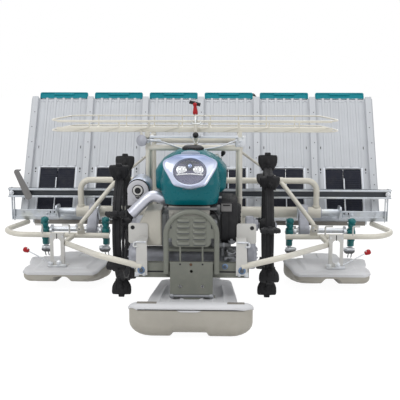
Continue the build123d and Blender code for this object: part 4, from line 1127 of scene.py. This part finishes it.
class TRANSPLANTER_OT_exhaust(bpy.types.Operator):
    """Muffler can with its capsule shield and outlet, and the creased duct below it"""

    bl_idname = "transplanter.exhaust"
    bl_label = "Exhaust"

    def execute(self, context):
        can, shield, outlet, soot = Shape(), Shape(), Shape(), Shape()
        can.turned((-226, -790, 540), (0, 1, 0),
                   [(0, 44), (2, 46), (6, 47), (30, 47), (31, 48.2), (34, 48.2), (35, 47), (150, 47),
                    (158, 44), (164, 34), (166, 10)], 56)
        can.slab((-211, -652, 520), (-197, -640, 544), 2)
        # end shield, its black gasket, the ringed outlet and the drilled recess under it
        soot.turned((-226, -791, 540), (0, -1, 0), [(0, 47.6), (3, 47.6), (4, 46)], 56)
        shield.turned((-227, -793, 538), (0, -1, 0),
                      [(0, 45), (4, 44.5), (6, 42), (6.5, 30), (5, 25), (5, 10)], 56)
        shield.slab((-271, -797, 476), (-184, -793, 524), 6)
        outlet.turned((-227, -797, 540), (0, -1, 0),
                      [(0, 21), (1, 21), (6, 20), (8, 18), (7, 13), (-4, 12.5)], 40)
        soot.turned((-227, -798, 540), (0, -1, 0), [(0, 24), (1.6, 24), (2, 22)], 40)
        soot.turned((-227, -799, 540), (0, -1, 0), [(0, 12.8), (6, 12.8), (6.5, 8)], 28)
        soot.turned((-227, -798.6, 516), (0, -1, 0), [(0, 11), (1.4, 11), (2, 9)], 24)
        for k in (-1, 0, 1):
            outlet.turned((-227 + 7 * k, -800, 514), (0, -1, 0), [(0, 2.2), (3, 2.2), (4, 1.4)], 10)
        can.done("muffler_can", "machine", "muffler_steel", "muffler", 38.0, ("muffler",))
        shield.done("muffler_shield", "machine", "muffler_steel", "shield", 38.0)
        outlet.done("muffler_outlet", "machine", "white_paint", "white", 38.0)
        soot.done("muffler_soot", "machine", "black_plastic", "black", 38.0)
        duct = Shape()
        path = bent([(-78, -730, 478), (-108, -816, 504), (-168, -834, 530), (-250, -834, 448)], 46, 8)
        rings, side = [], Vector((0, 0, 1))
        for i, point in enumerate(path):
            along = (path[min(i + 1, len(path) - 1)] - path[max(i - 1, 0)]).normalized()
            side = (side - along * side.dot(along)).normalized()
            across = along.cross(side)
            ring = []
            for turn in around(28):
                ridge = 1.0 + 0.10 * max(0.0, math.cos(turn - math.pi / 2)) ** 8
                ridge += 0.10 * abs(math.sin(turn)) ** 9
                ring.append(point + (side * math.cos(turn) * 24 + across * math.sin(turn) * 20) * ridge)
            rings.append(ring)
        duct.skin(rings)
        duct.turned((-247, -834, 451), Vector((-88, 0, -86)), [(0, 25.5), (4, 25.5), (5, 24)], 28)
        duct.done("exhaust_duct", "machine", "muffler_steel", "duct", 40.0, ("exhaust_elbow",))
        return {"FINISHED"}


# ------------------------------------------------------------------ planting drive
PIN_Y, CRANK_Z = -178.0, 235.0
CASES = (-524, 0, 524)                  # x of the planting cases
CRANK_AXIS = (-142, 235)                # y, z of the planting cranks
BEAM_AXIS = (-60, 310)                  # y, z of the planting beam
LEG_PIVOT = (-740, 250)                 # y, z of the swing legs


class TRANSPLANTER_OT_planting(bpy.types.Operator):
    """Planting arms: ringed teal castings, zinc pushers and the claws' blades"""

    bl_idname = "transplanter.planting"
    bl_label = "Planting arms"

    def execute(self, context):
        castings, plugs, pushers, blades = Shape(), Shape(), Shape(), Shape()
        for index, row in enumerate(ROWS):
            inward = 1 if index % 2 == 0 else -1
            # stack of turned bosses down the front of the arm
            castings.turned((row, -182, 168), (0.02, -0.12, 1), [
                (0, 8), (2, 13), (26, 15), (28, 17), (34, 17), (36, 14), (44, 14), (46, 16.5), (76, 17.5),
                (80, 15), (84, 12), (92, 14.5), (100, 16), (108, 15), (112, 11), (116, 16), (124, 18.5),
                (131, 17.5), (138, 12), (141, 5)], 28)
            for z, reach, size in ((271, -206, 6.5), (235, -202, 5.0)):
                plugs.turned((row + 3, reach + 5, z), (0.1, -1, 0.05),
                             [(0, size + 2.5), (4, size + 2.5), (5, size), (6.5, size * 0.6)], 18)
            for face in (-1, 1):
                castings.turned((row + face * 15, PIN_Y + 0.5, CRANK_Z),
                                (face, 0, 0), [(0, 19), (3, 18), (4, 12)], 28)
                pushers.bolt((row + face * 13.5, PIN_Y - 8, 283), (face, 0, 0), 9)
            pushers.turned((row + inward * 8 - 27, -186, 152), (1, 0, 0), [
                (0, 4), (2, 8.5), (10, 9), (12, 10.5), (20, 10.5), (22, 9), (44, 9), (46, 7), (54, 5)], 20)
            pushers.turned((row, -179, 150), (0, 0, 1), [(0, 7), (22, 9), (26, 11)], 18)
            blades.skin([[(row + inward * 6 + x * wide, -178 + y, z)
                          for x, y in rounded_rect(1.0, deep, 0.2, 2)]
                         for z, wide, deep in ((128, 30, 8), (134, 46, 16), (141, 54, 22), (147, 50, 20))])
            for side in (-1, 1):
                blades.skin([[(row + side * 8 + x, y + dy, z) for x, dy in rounded_rect(3.0, wide, 0.8, 2)]
                             for y, z, wide in ((-163, 146, 14), (-161, 124, 11),
                                                (-152, 108, 8), (-142, 100, 3))])
        castings.done("arm_castings", "arms", "teal_cast", "teal_arm", 40.0)
        plugs.done("arm_plugs", "arms", "black_plastic", "black", 40.0)
        pushers.done("arm_pushers", "arms", "zinc", "zinc", 40.0)
        blades.done("claw_blades", "arms", "zinc", "engine", 35.0)
        return {"FINISHED"}


class TRANSPLANTER_OT_drive(bpy.types.Operator):
    """Ribs, covers and bolts of the planting cases, the gearbox and the beam"""

    bl_idname = "transplanter.drive"
    bl_label = "Planting drive"

    def execute(self, context):
        covers, bolts = Shape(), Shape()
        for x in CASES:
            for face in (-1, 1):
                covers.turned((x + face * 21.5, *CRANK_AXIS), (face, 0, 0), [(0, 27), (3, 26), (4, 20)], 36)
                bolts.bolt_circle((x + face * 25, *CRANK_AXIS), 22.5, 4, (face, 0, 0), 6, 0.5)
                for share in (0.25, 0.5, 0.75):
                    y, z = (beam + (crank - beam) * share for beam, crank in zip(BEAM_AXIS, CRANK_AXIS))
                    covers.slab((x + face * 22 - 1.5, y - 3, z - 20),
                                (x + face * 22 + 1.5, y + 3, z + 20), 0.8)
        for case in (CASES[0], CASES[2]):
            for x in (case - 9, case + 9):
                bolts.bolt((x, -97, 324), (0, -0.7, 0.7), 8)
        for x in (-612, 612):
            covers.turned((x, *BEAM_AXIS), (math.copysign(1, x), 0, 0), [(0, 27), (4, 26), (5, 15)], 36)
        # feed box: lid with a rim of screws, and a drain plug
        covers.slab((-54, -110, 284), (54, -102, 346), 3)
        for x in (-46, 0, 46):
            for z in (290, 340):
                bolts.bolt((x, -110, z), (0, -1, 0), 8)
        # gearbox: bearing covers and bolts on both flanks
        for face in (-1, 1):
            for y, z, size in ((-480, 262, 44), (-424, 296, 30)):
                covers.turned((face * 94.5, y, z), (face, 0, 0),
                              [(0, size), (6, size - 1), (7, size - 8), (5, 12)], 40)
                bolts.bolt_circle((face * 101, y, z), size - 6, 6, (face, 0, 0), 7)
            bolts.bolt_circle((face * 211.5, *LEG_PIVOT), 44, 8, (-face, 0, 0), 8)
        covers.done("drive_covers", "machine", "cast_grey", "cast", 35.0)
        bolts.done("drive_bolts", "machine", "zinc", "zinc", 35.0)
        for side, leg in ((-1, "right_leg"), (1, "left_leg")):
            caps = Shape()
            caps.turned((side * 267.5, *LEG_PIVOT), (side, 0, 0), [(0, 42), (4, 40), (5, 24)], 40)
            caps.bolt_circle((side * 271.5, *LEG_PIVOT), 33, 6, (side, 0, 0), 7)
            caps.done(leg + "_cover", leg, "cast_grey", "cast", 35.0)
        return {"FINISHED"}


# ------------------------------------------------------------------ levers and knobs
class TRANSPLANTER_OT_levers(bpy.types.Operator):
    """Release lever with its red knob and tee grip, the float locks' knobs and the right-hand lever"""

    bl_idname = "transplanter.levers"
    bl_label = "Levers and knobs"

    def execute(self, context):
        red, black, bright, pale = Shape(), Shape(), Shape(), Shape()
        red.turned((5, -562, 835), (-0.05, 0, 1),
                   [(0, 4), (3, 9), (9, 11.4), (16, 11), (28, 8.2), (33, 7.4), (37, 6.4), (40, 8),
                    (46, 9.4), (52, 8), (55, 3)], 28)
        for side in (-1, 1):
            red.turned((side * 788, -380, 177.5), (side * 0.92, -0.05, 0.38), [
                (0, 6), (3, 9.5), (9, 11), (14, 12.6), (20, 13), (26, 11), (30, 6)], 24)
        black.tube([(-22, -545, 892), (-10, -545, 889.5), (6, -545, 885), (26, -545, 879)], 8.0, 16)
        black.turned((8, -620, 754), (0, -1, 0.1),
                     [(0, 8), (4, 12), (12, 13), (19, 11.5), (24, 7), (26, 2)], 24)
        bright.tube(bent([(5, -562, 842), (6, -611, 820), (7, -613, 797)], 12), 4.2, 12)
        bright.tube(bent([(-10, -615, 812), (-7, -615, 802), (26, -615, 802), (31, -615, 812)], 8), 3.6, 10)
        pale.tube(bent([(7, -572, 704), (7, -582, 716), (8, -617, 744), (8, -617, 799)], 14), 8.0, 20)
        pale.slab((-20, -590, 690), (20, -540, 706), 3)
        bright.tube(bent([(-15, -622, 760), (-16, -622, 748), (0, -622, 728), (6, -622, 716)], 8), 1.6, 8)
        bright.tube(bent([(28, -622, 758), (30, -622, 744), (20, -622, 726), (9, -622, 716)], 9), 1.6, 8)
        # the two pulls that run from the posts' heads to the cap's sides
        bright.tube(bent([(-206, -622, 734), (-147, -622, 728), (-56, -622, 697), (-20, -600, 688)], 30),
                    3.8, 12)
        bright.tube(bent([(188, -622, 734), (110, -622, 702), (50, -622, 694), (22, -600, 688)], 30),
                    3.2, 12)
        for x, size in ((-180, 6.5), (-150, 5.2), (160, 5.2)):
            bright.turned((x, -622, 731 if x < 0 else 722), (1, 0, -0.1 if x < 0 else 0.4),
                          [(-9, size - 2), (-8, size), (8, size), (9, size - 2)], 16)
        # lever at the hood's left, with its black handle
        black.turned((112, -561, 634), (0.42, 0, 0.9), [(0, 5), (3, 6.8), (9, 6.4), (13, 4)], 18)
        black.turned((121, -561, 655), (0.38, 0, 0.92),
                     [(0, 4.5), (6, 6), (12, 9.4), (18, 10.4), (24, 8.4), (27, 3)], 22)
        bright.tube([(106, -561, 616), (128, -561, 670)], 2.6, 8)
        pale.tube(bent([(98, -566, 618), (86, -566, 650), (98, -566, 670), (112, -566, 650),
                        (108, -566, 620)], 14),
                  2.4, 8)
        bright.slab((92, -572, 596), (206, -554, 603), 2)
        red.done("red_knobs", "machine", "black_plastic", "red", 50.0)
        black.done("black_knobs", "machine", "black_plastic", "black", 50.0)
        bright.done("lever_rods", "machine", "zinc", "zinc", 40.0)
        pale.done("lever_tube", "machine", "cream_paint", "cream", 40.0, ("release_levers",))
        return {"FINISHED"}


class TRANSPLANTER_OT_rack_fittings(bpy.types.Operator):
    """Swivel disc, drilled bracket, flat rails and clips of the spare rack"""

    bl_idname = "transplanter.rack_fittings"
    bl_label = "Rack fittings"

    def execute(self, context):
        zinc, cream, rail, disc = Shape(), Shape(), Shape(), Shape()
        disc.turned((-226, -622, 730), (-0.35, -0.93, 0.1),
                    [(-6, 18), (-5, 24), (2, 25), (4, 23), (5, 16), (8, 12)], 36)
        zinc.tube(bent([(-214, -612, 732), (-180, -606, 731), (-146, -600, 729)], 12),
                  lambda t: 6.5 - 2.5 * t, 12)
        zinc.turned((-186, -604, 738), (0.1, -0.2, 1), [(0, 12), (4, 14), (10, 13), (13, 8)], 18)
        for left, rows in ((-232, ((742, 20), (758, 10), (772, 4))),
                           (-212, ((742, 16), (754, 8), (764, 3)))):
            cream.skin([[(left + x, y, z) for x, y in ((0, -618), (wide, -618), (wide, -612), (0, -612))]
                        for z, wide in rows])
        # flat rail between the posts' heads, and the rack's own lower rail
        rail.slab((-190, -622, 742), (190, -618, 751), 1.2)
        rail.slab((-190, -618, 740), (190, -612, 744), 1.0)
        cream.slab((-598, -603, 769), (598, -599, 786), 1.0)
        cream.slab((-596, -603, 806), (596, -599, 811), 1.0)
        for i in range(9):
            x = -520 + 130 * i
            cream.tube([(x, -606, 770), (x + 62, -606, 786)], 1.7, 6)
        # bracket on the left post, drilled like a strap
        for x, z, size in ((188, 742, 4.0), (204, 728, 3.0), (196, 712, 2.6), (212, 744, 2.6)):
            zinc.turned((x, -614, z), (0, -1, 0),
                        [(0, size + 3), (2, size + 3), (3, size), (0.5, size * 0.7)], 14)
        zinc.slab((180, -614, 702), (222, -610, 752), 2)
        for side in (-1, 1):
            for y in (-600, -300):
                cream.turned((side * 200, y, 690), (0, 0, 1), [(0, 11.4), (1, 13), (7, 13), (8, 11.4)], 24)
                zinc.bolt((side * 200, y - 11, 726), (0, -1, 0), 9)
            cream.turned((side * 200, -600, 470), (0, 0, 1),
                         [(0, 11.4), (1, 13.5), (10, 13.5), (11, 11.4)], 24)
            cream.tube([(side * 186, -596, 690), (side * 186, -596, 440)], 3.6, 10)
        disc.done("rack_disc", "machine", "cast_grey", "cast", 40.0)
        rail.done("rack_flat_rail", "machine", "zinc", "strip", 40.0)
        zinc.done("rack_swivels", "machine", "zinc", "zinc", 40.0)
        cream.done("rack_clips", "machine", "cream_paint", "cream", 40.0)
        return {"FINISHED"}


# ------------------------------------------------------------------ front, straps, hangers, rails
HANGER_X = 655                          # middle of a float hanger


class TRANSPLANTER_OT_fasteners(bpy.types.Operator):
    """Bolts, washers, clips and small brackets all over the frame"""

    bl_idname = "transplanter.fasteners"
    bl_label = "Fasteners"

    def execute(self, context):
        flat = 1000 * context.scene.transplanter_sizes.bolt
        zinc, white, dark, cream, bolt, heads, rust = (Shape() for _ in range(7))
        for side in (-1, 1):
            hanger = side * HANGER_X
            # straps: big washers on the front beam and a hook at the strap's head
            bolt.turned((side * 208, -888.5, 222), (0, -1, 0), [(0, 15.5), (2, 15.5), (3, 14), (3, 9)], 32)
            heads.bolt((side * 208, -891, 222), (0, -1, 0), flat * 1.15, False)
            zinc.tube(bent([(side * 188, -890, 341), (side * 236, -890, 341), (side * 240, -890, 322),
                            (side * 220, -888, 322)], 8), 4.0, 10)
            # painted shade: a black disc in a hole
            dark.turned((side * 250, -805.6, 384), (0, -1, 0), [(0, 8.8), (0.5, 8.8)], 24)
            # float hangers: slit painted black as its shade, angle foot with slotted holes and two bolts
            dark.slab((hanger - 2, -384.8, 238), (hanger + 2, -383.9, 264), 0.3)
            zinc.slab((hanger - 44, -392, 104), (hanger + 44, -384, 112), 1)
            zinc.slab((hanger - 44, -388, 108), (hanger - 20, -384.5, 126), 1)
            zinc.bolt((hanger - 31, -388, 118), (0, -1, 0), flat * 0.8)
            zinc.bolt((hanger + 8, -386, 122), (0, -1, 0.2), flat)
            zinc.slab((hanger + 10, -390, 106), (hanger + 44, -384, 118), 1.5)
            for x in (hanger - side * 26, hanger + side * 26):
                zinc.turned((x, -384, 250), (0, -1, 0), [(0, 4.5), (1.6, 4.5), (2.2, 3)], 14)
            # hooks bent from rod beside the outer rows
            for x, reach in ((-616, -36), (748, 34)):
                white.tube(bent([(-side * x, -262, 236), (-side * x, -262, 281),
                                 (-side * (x + reach), -262, 281)], 8), 4.2, 10)
            # plates and bolts where the stays meet the beam and the bumper
            white.slab((side * 568 - 16, -266, 252), (side * 568 + 16, -258, 286), 3)
            # painted shade: a black disc in the plate's hole
            dark.turned((side * 568, -266, 262), (0, -1, 0), [(0, 4), (0.8, 4)], 14)
            zinc.bolt((side * 568 - 9, -266, 277), (0, -1, 0), flat * 0.7)
            cream.turned((side * 590, -60, 330), (0, 0, 1), [(0, 18), (2, 19), (14, 19), (16, 16)], 28)
            cream.turned((side * 408, -60, 470), (1, 0, 0),
                         [(-14, 15.6), (-13, 17), (13, 17), (14, 15.6)], 28)
            # guide bar's end fittings
            zinc.bolt((side * 955, -5, 393), (0, -1, 0), flat)
            zinc.turned((side * 955, 4, 350), (0, 0, 1), [(0, 5), (20, 5), (21, 9), (27, 9)], 12)
        # front plate: rusty bolt between two holes, and the beam's own bolt and slot; the holes and the
        # slot are black as painted shade
        for x in (-46, 46):
            dark.turned((x, -905.6, 252), (0, -1, 0), [(0, 4), (0.8, 4)], 14)
        rust.bolt((-2, -906, 251), (0, -1, 0), 6)
        bolt.turned((138, -878, 237), (0, -1, 0), [(0, 12), (2, 12), (3, 10)], 28)
        heads.bolt((138, -880, 237), (0, -1, 0), flat, False)
        for side in (-1, 1):
            x0, x1 = sorted((side * 108, side * 230))
            dark.slab((x0, -879, 211), (x1, -877.5, 217), 0.5)
            zinc.slab((side * 226 - 9, -890, 194), (side * 226 + 9, -878, 214), 2)
            # bolts in the plates on the straps' feet
            zinc.bolt((side * 196, -890, 204), (0, -1, 0), flat * 0.6)
        zinc.done("fasteners", "machine", "zinc", "zinc", 35.0)
        bolt.done("blue_washers", "machine", "zinc", "bolt", 35.0)
        heads.done("bolt_heads", "machine", "zinc", "slate", 35.0)
        rust.done("rusty_bolt", "machine", "zinc", "rust", 35.0)
        white.done("rod_hooks", "machine", "white_paint", "white", 40.0)
        dark.done("hole_shade", "machine", "black_plastic", "black", 40.0)
        cream.done("cream_collars", "machine", "cream_paint", "cream", 40.0)
        return {"FINISHED"}


RAIL_REACH = 948.0


class TRANSPLANTER_OT_rails(bpy.types.Operator):
    """Guide bar's bright edges as painted highlights, the tray rail's lips, a dark slab of painted shade
    under the tray, and the gates under the tray
    """

    bl_idname = "transplanter.rails"
    bl_label = "Rails"

    def execute(self, context):
        bright, dark, under = Shape(), Shape(), Shape()
        # painted highlights: bright zinc strips along the guide bar's top and bottom edges, over the bar's
        # dark painted shade
        for z in (411, 375):
            bright.slab((-970, -7.5, z - 5), (970, -4.5, z + 5), 1.0)
        bright.slab((-RAIL_REACH, 9.5, 296), (RAIL_REACH, 12.5, 305), 1.0)
        bright.slab((-RAIL_REACH, 10.0, 268), (RAIL_REACH, 13.5, 274), 1.0)
        # painted shade: a dark brown slab where the tray's underside lies in shade
        under.slab((-RAIL_REACH + 96, 34, 224), (RAIL_REACH - 96, 40, 246), 1.5)
        for side in (-1, 1):
            x0, x1 = sorted((side * (RAIL_REACH - 6), side * (RAIL_REACH - 2)))
            bright.slab((x0, -4, 248), (x1, 12, 372), 1.0)
        for row in ROWS:
            for side in (-1, 1):
                bright.slab((row + side * 16 - 2, 8, 270), (row + side * 16 + 2, 13, 304), 0.8)
                bright.bolt((row + side * 30, 12, 282), (0, -1, 0), 8)
            dark.slab((row - 15, 11, 286), (row + 15, 13, 303), 0.5)
            bright.slab((row - 60, 38.5, 232), (row - 56, 44, 250), 0.5)
            bright.slab((row + 56, 38.5, 232), (row + 60, 44, 250), 0.5)
        for i in range(13):
            x = -900 + 150 * i
            bright.bolt((x, 12, 291), (0, -1, 0), 9)
        under.done("painted_shade_slab", "machine", "bar_grey", "painted_shade", 35.0)
        bright.done("rail_edges", "machine", "zinc", "rail", 35.0)
        dark.done("rail_gates", "machine", "black_plastic", "black", 40.0)
        return {"FINISHED"}


# ------------------------------------------------------------------ rear
GRIP_X = 300


class TRANSPLANTER_OT_handlebars(bpy.types.Operator):
    """Ribbed grips with their squeeze levers, and the console's face"""

    bl_idname = "transplanter.handlebars"
    bl_label = "Grips and console"

    def execute(self, context):
        grips, console, knobs, levers = (Shape() for _ in range(4))
        for grip in (-GRIP_X, GRIP_X):
            profile = [(0, 20), (2, 20.5), (6, 20.5), (8, 18.2)]
            for i in range(14):
                start = 10 + 8.6 * i
                profile += [(start, 17.6), (start + 1.4, 18.8), (start + 4.6, 18.8), (start + 6, 17.6)]
            profile += [(132, 18), (135, 19.2), (139.4, 17), (140, 12)]
            grips.turned((grip, 1010, 815), (0, 1, 0), profile, 28)
            # squeeze lever in its clamp, under the grip
            levers.turned((grip, 966, 815), (0, 1, 0), [(0, 17), (1, 20), (13, 20), (14, 17)], 24)
            levers.slab((grip - 5, 966, 782), (grip + 5, 982, 800), 2)
            levers.tube(bent([(grip, 974, 786), (grip, 1000, 770), (grip, 1118, 764)],
                             16), 5.0, 12)
        # console face: bezel, slots for its levers and round knobs
        console.slab((-116, 604, 679), (116, 704, 684), 2)
        for x in (-70, 0, 70):
            console.slab((x - 9, 622, 683), (x + 9, 682, 686), 1)
            knobs.turned((x, 650, 776), (0, 0, 1),
                         [(0, 6), (4, 9), (10, 12), (24, 12.6), (33, 11), (38, 6)], 24)
        for x, y in ((-106, 612), (106, 612), (-106, 696), (106, 696)):
            knobs.turned((x, y, 684), (0, 0, 1), [(0, 4), (1.5, 4), (2, 3)], 12)
        grips.done("grips_ribbed", "machine", "black_plastic", "rubber", 35.0, ("grips",))
        levers.done("clutch_squeeze_levers", "machine", "zinc", "black", 40.0, ("clutch_levers",))
        console.done("console_face", "machine", "black_plastic", "black", 40.0)
        knobs.done("console_knobs", "machine", "black_plastic", "red", 45.0)
        return {"FINISHED"}


# ------------------------------------------------------------------ guards and louvres
class TRANSPLANTER_OT_guards(bpy.types.Operator):
    """Bent guard tubes beside the floats and the pressed louvres in the front guard"""

    bl_idname = "transplanter.guards"
    bl_label = "Guards and louvres"

    def execute(self, context):
        tubes, louvres, slots = Shape(), Shape(), Shape()
        for side in (-1, 1):
            tubes.tube(bent([(side * x, y, z) for x, y, z in (
                (428, -232, 222), (890, -232, 226), (960, -150, 230), (885, 45, 233))], 66, 12), 13.0, 24)
            tubes.tube(bent([(side * x, y, z) for x, y, z in (
                (206, -882, 236), (392, -868, 279), (630, -322, 206), (600, -232, 224))], 44, 12), 12.6, 24)
            tubes.turned((side * 600, -232, 214), (0, 0, 1), [(0, 14), (1, 16), (19, 16), (20, 14)], 24)
            # folded plate down to the guard from the stay
            tubes.skin([[(side * 562 + x, -262 + (268 - z) * 0.62 + y, z)
                         for x, y in rounded_rect(wide, 6, 2, 2)]
                        for z, wide in ((216, 26), (224, 40), (262, 34), (286, 30), (292, 20))])
        for x in (-33, 33):
            for row in range(5):
                z = 341 + 24 * row
                louvres.skin([[(x + dx, -902 - deep * out, z + up) for out, up in (
                    (-0.1, -6.6), (1.0, -6.2), (1.0, -4.4), (0.82, 0.0), (0.42, 5.0), (-0.1, 8.4))]
                              for dx, deep in ((27.5 * math.sin(turn), 1.0 + 9.0 * math.cos(turn))
                                               for turn in
                                               (math.pi / 2 * k / 8 for k in range(-8, 9)))])
                # painted shade: a dark slab beneath each louvre, in its open slot
                slots.slab((x - 24, -904.5, z - 10.5), (x + 24, -901, z - 6.4), 0.8)
        tubes.done("guard_tubes", "machine", "cream_paint", "cream", 40.0, ("side_guards",))
        louvres.done("louvres_pressed", "machine", "olive_paint", "olive", 50.0)
        slots.done("louvre_slot_shade", "machine", "black_plastic", "slate", 40.0)
        return {"FINISHED"}


# ------------------------------------------------------------------ stage
class TRANSPLANTER_OT_stage(bpy.types.Operator):
    """Set the floor, the lights and the camera"""

    bl_idname = "transplanter.stage"
    bl_label = "Stage"

    def execute(self, context):
        scene = context.scene
        white = bpy.data.materials.new("floor_white")
        white.use_nodes = True
        floor_nodes = Nodes(white.node_tree)
        floor_nodes.tree.nodes.remove(floor_nodes.tree.nodes["Principled BSDF"])
        surface = floor_nodes.node("ShaderNodeMixShader", {}, {
            0: floor_nodes.seen_directly() * GLOW_SHARE,
            1: floor_nodes.node("ShaderNodeBsdfDiffuse", {}, {0: FLOOR_GREY}),
            2: floor_nodes.node("ShaderNodeEmission", {}, {0: (1.0, 1.0, 1.0, 1.0), 1: FLOOR_GLOW})})
        floor_nodes.tree.links.new(surface.socket, floor_nodes.tree.nodes["Material Output"].inputs[0])
        bm = bmesh.new()
        bmesh.ops.create_grid(bm, x_segments=1, y_segments=1, size=FLOOR_SIZE)
        mesh = bpy.data.meshes.new("floor")
        bm.to_mesh(mesh)
        bm.free()
        mesh.materials.append(white)
        floor = bpy.data.objects.new("floor", mesh)
        scene.collection.objects.link(floor)

        scene.world = bpy.data.worlds.new("studio")
        scene.world.use_nodes = True
        sky = Nodes(scene.world.node_tree)
        level = sky.node("ShaderNodeMapRange", {}, {0: sky.seen_directly(), 3: SKY_LEVEL, 4: 1.0})
        back = sky.tree.nodes["Background"]
        back.inputs[0].default_value = (1.0, 1.0, 1.0, 1.0)
        sky.tree.links.new(level.socket, back.inputs[1])

        for name, place, size, power in LAMPS:
            light = bpy.data.lights.new(name, "AREA")
            light.size = size
            light.energy = power
            lamp = bpy.data.objects.new(name, light)
            lamp.location = place
            lamp.rotation_euler = (Vector(LAMPS_AIM) - Vector(place)).to_track_quat("-Z", "Y").to_euler()
            scene.collection.objects.link(lamp)

        camera = bpy.data.cameras.new("camera")
        camera.sensor_width = SENSOR
        camera.lens = LENS
        eye = bpy.data.objects.new("camera", camera)
        eye.location = EYE
        eye.rotation_euler = (math.radians(90.0 - EYE_DOWN), 0.0, math.radians(EYE_LEFT))
        scene.collection.objects.link(eye)
        scene.camera = eye
        scene.view_settings.view_transform = "Standard"
        return {"FINISHED"}


class TRANSPLANTER_PT_panel(bpy.types.Panel):
    """Lists the machine's pieces in the sidebar"""

    bl_idname = "TRANSPLANTER_PT_panel"
    bl_label = "Transplanter"
    bl_space_type = "VIEW_3D"
    bl_region_type = "UI"
    bl_category = "Transplanter"

    def draw(self, context):
        for operator in OPERATORS:
            self.layout.operator(operator.bl_idname)
        for group in (context.scene.transplanter_colours, context.scene.transplanter_sizes):
            for setting in group.__annotations__:
                self.layout.prop(group, setting)


OPERATORS = (
    TRANSPLANTER_OT_finishes,
    TRANSPLANTER_OT_rounded,
    TRANSPLANTER_OT_floats,
    TRANSPLANTER_OT_hood,
    TRANSPLANTER_OT_headlamp,
    TRANSPLANTER_OT_wheels,
    TRANSPLANTER_OT_tray,
    TRANSPLANTER_OT_belts,
    TRANSPLANTER_OT_engine,
    TRANSPLANTER_OT_exhaust,
    TRANSPLANTER_OT_planting,
    TRANSPLANTER_OT_drive,
    TRANSPLANTER_OT_levers,
    TRANSPLANTER_OT_rack_fittings,
    TRANSPLANTER_OT_fasteners,
    TRANSPLANTER_OT_rails,
    TRANSPLANTER_OT_handlebars,
    TRANSPLANTER_OT_guards,
    TRANSPLANTER_OT_stage,
)
CLASSES = (TransplanterColours, TransplanterSizes, *OPERATORS, TRANSPLANTER_PT_panel)


def register():
    for cls in CLASSES:
        bpy.utils.register_class(cls)
    bpy.types.Scene.transplanter_colours = PointerProperty(type=TransplanterColours)
    bpy.types.Scene.transplanter_sizes = PointerProperty(type=TransplanterSizes)


def unregister():
    del bpy.types.Scene.transplanter_sizes
    del bpy.types.Scene.transplanter_colours
    for cls in reversed(CLASSES):
        bpy.utils.unregister_class(cls)


def main():
    register()
    for operator in OPERATORS:
        module, name = operator.bl_idname.split(".")
        getattr(getattr(bpy.ops, module), name)()


if __name__ == "__main__":
    main()
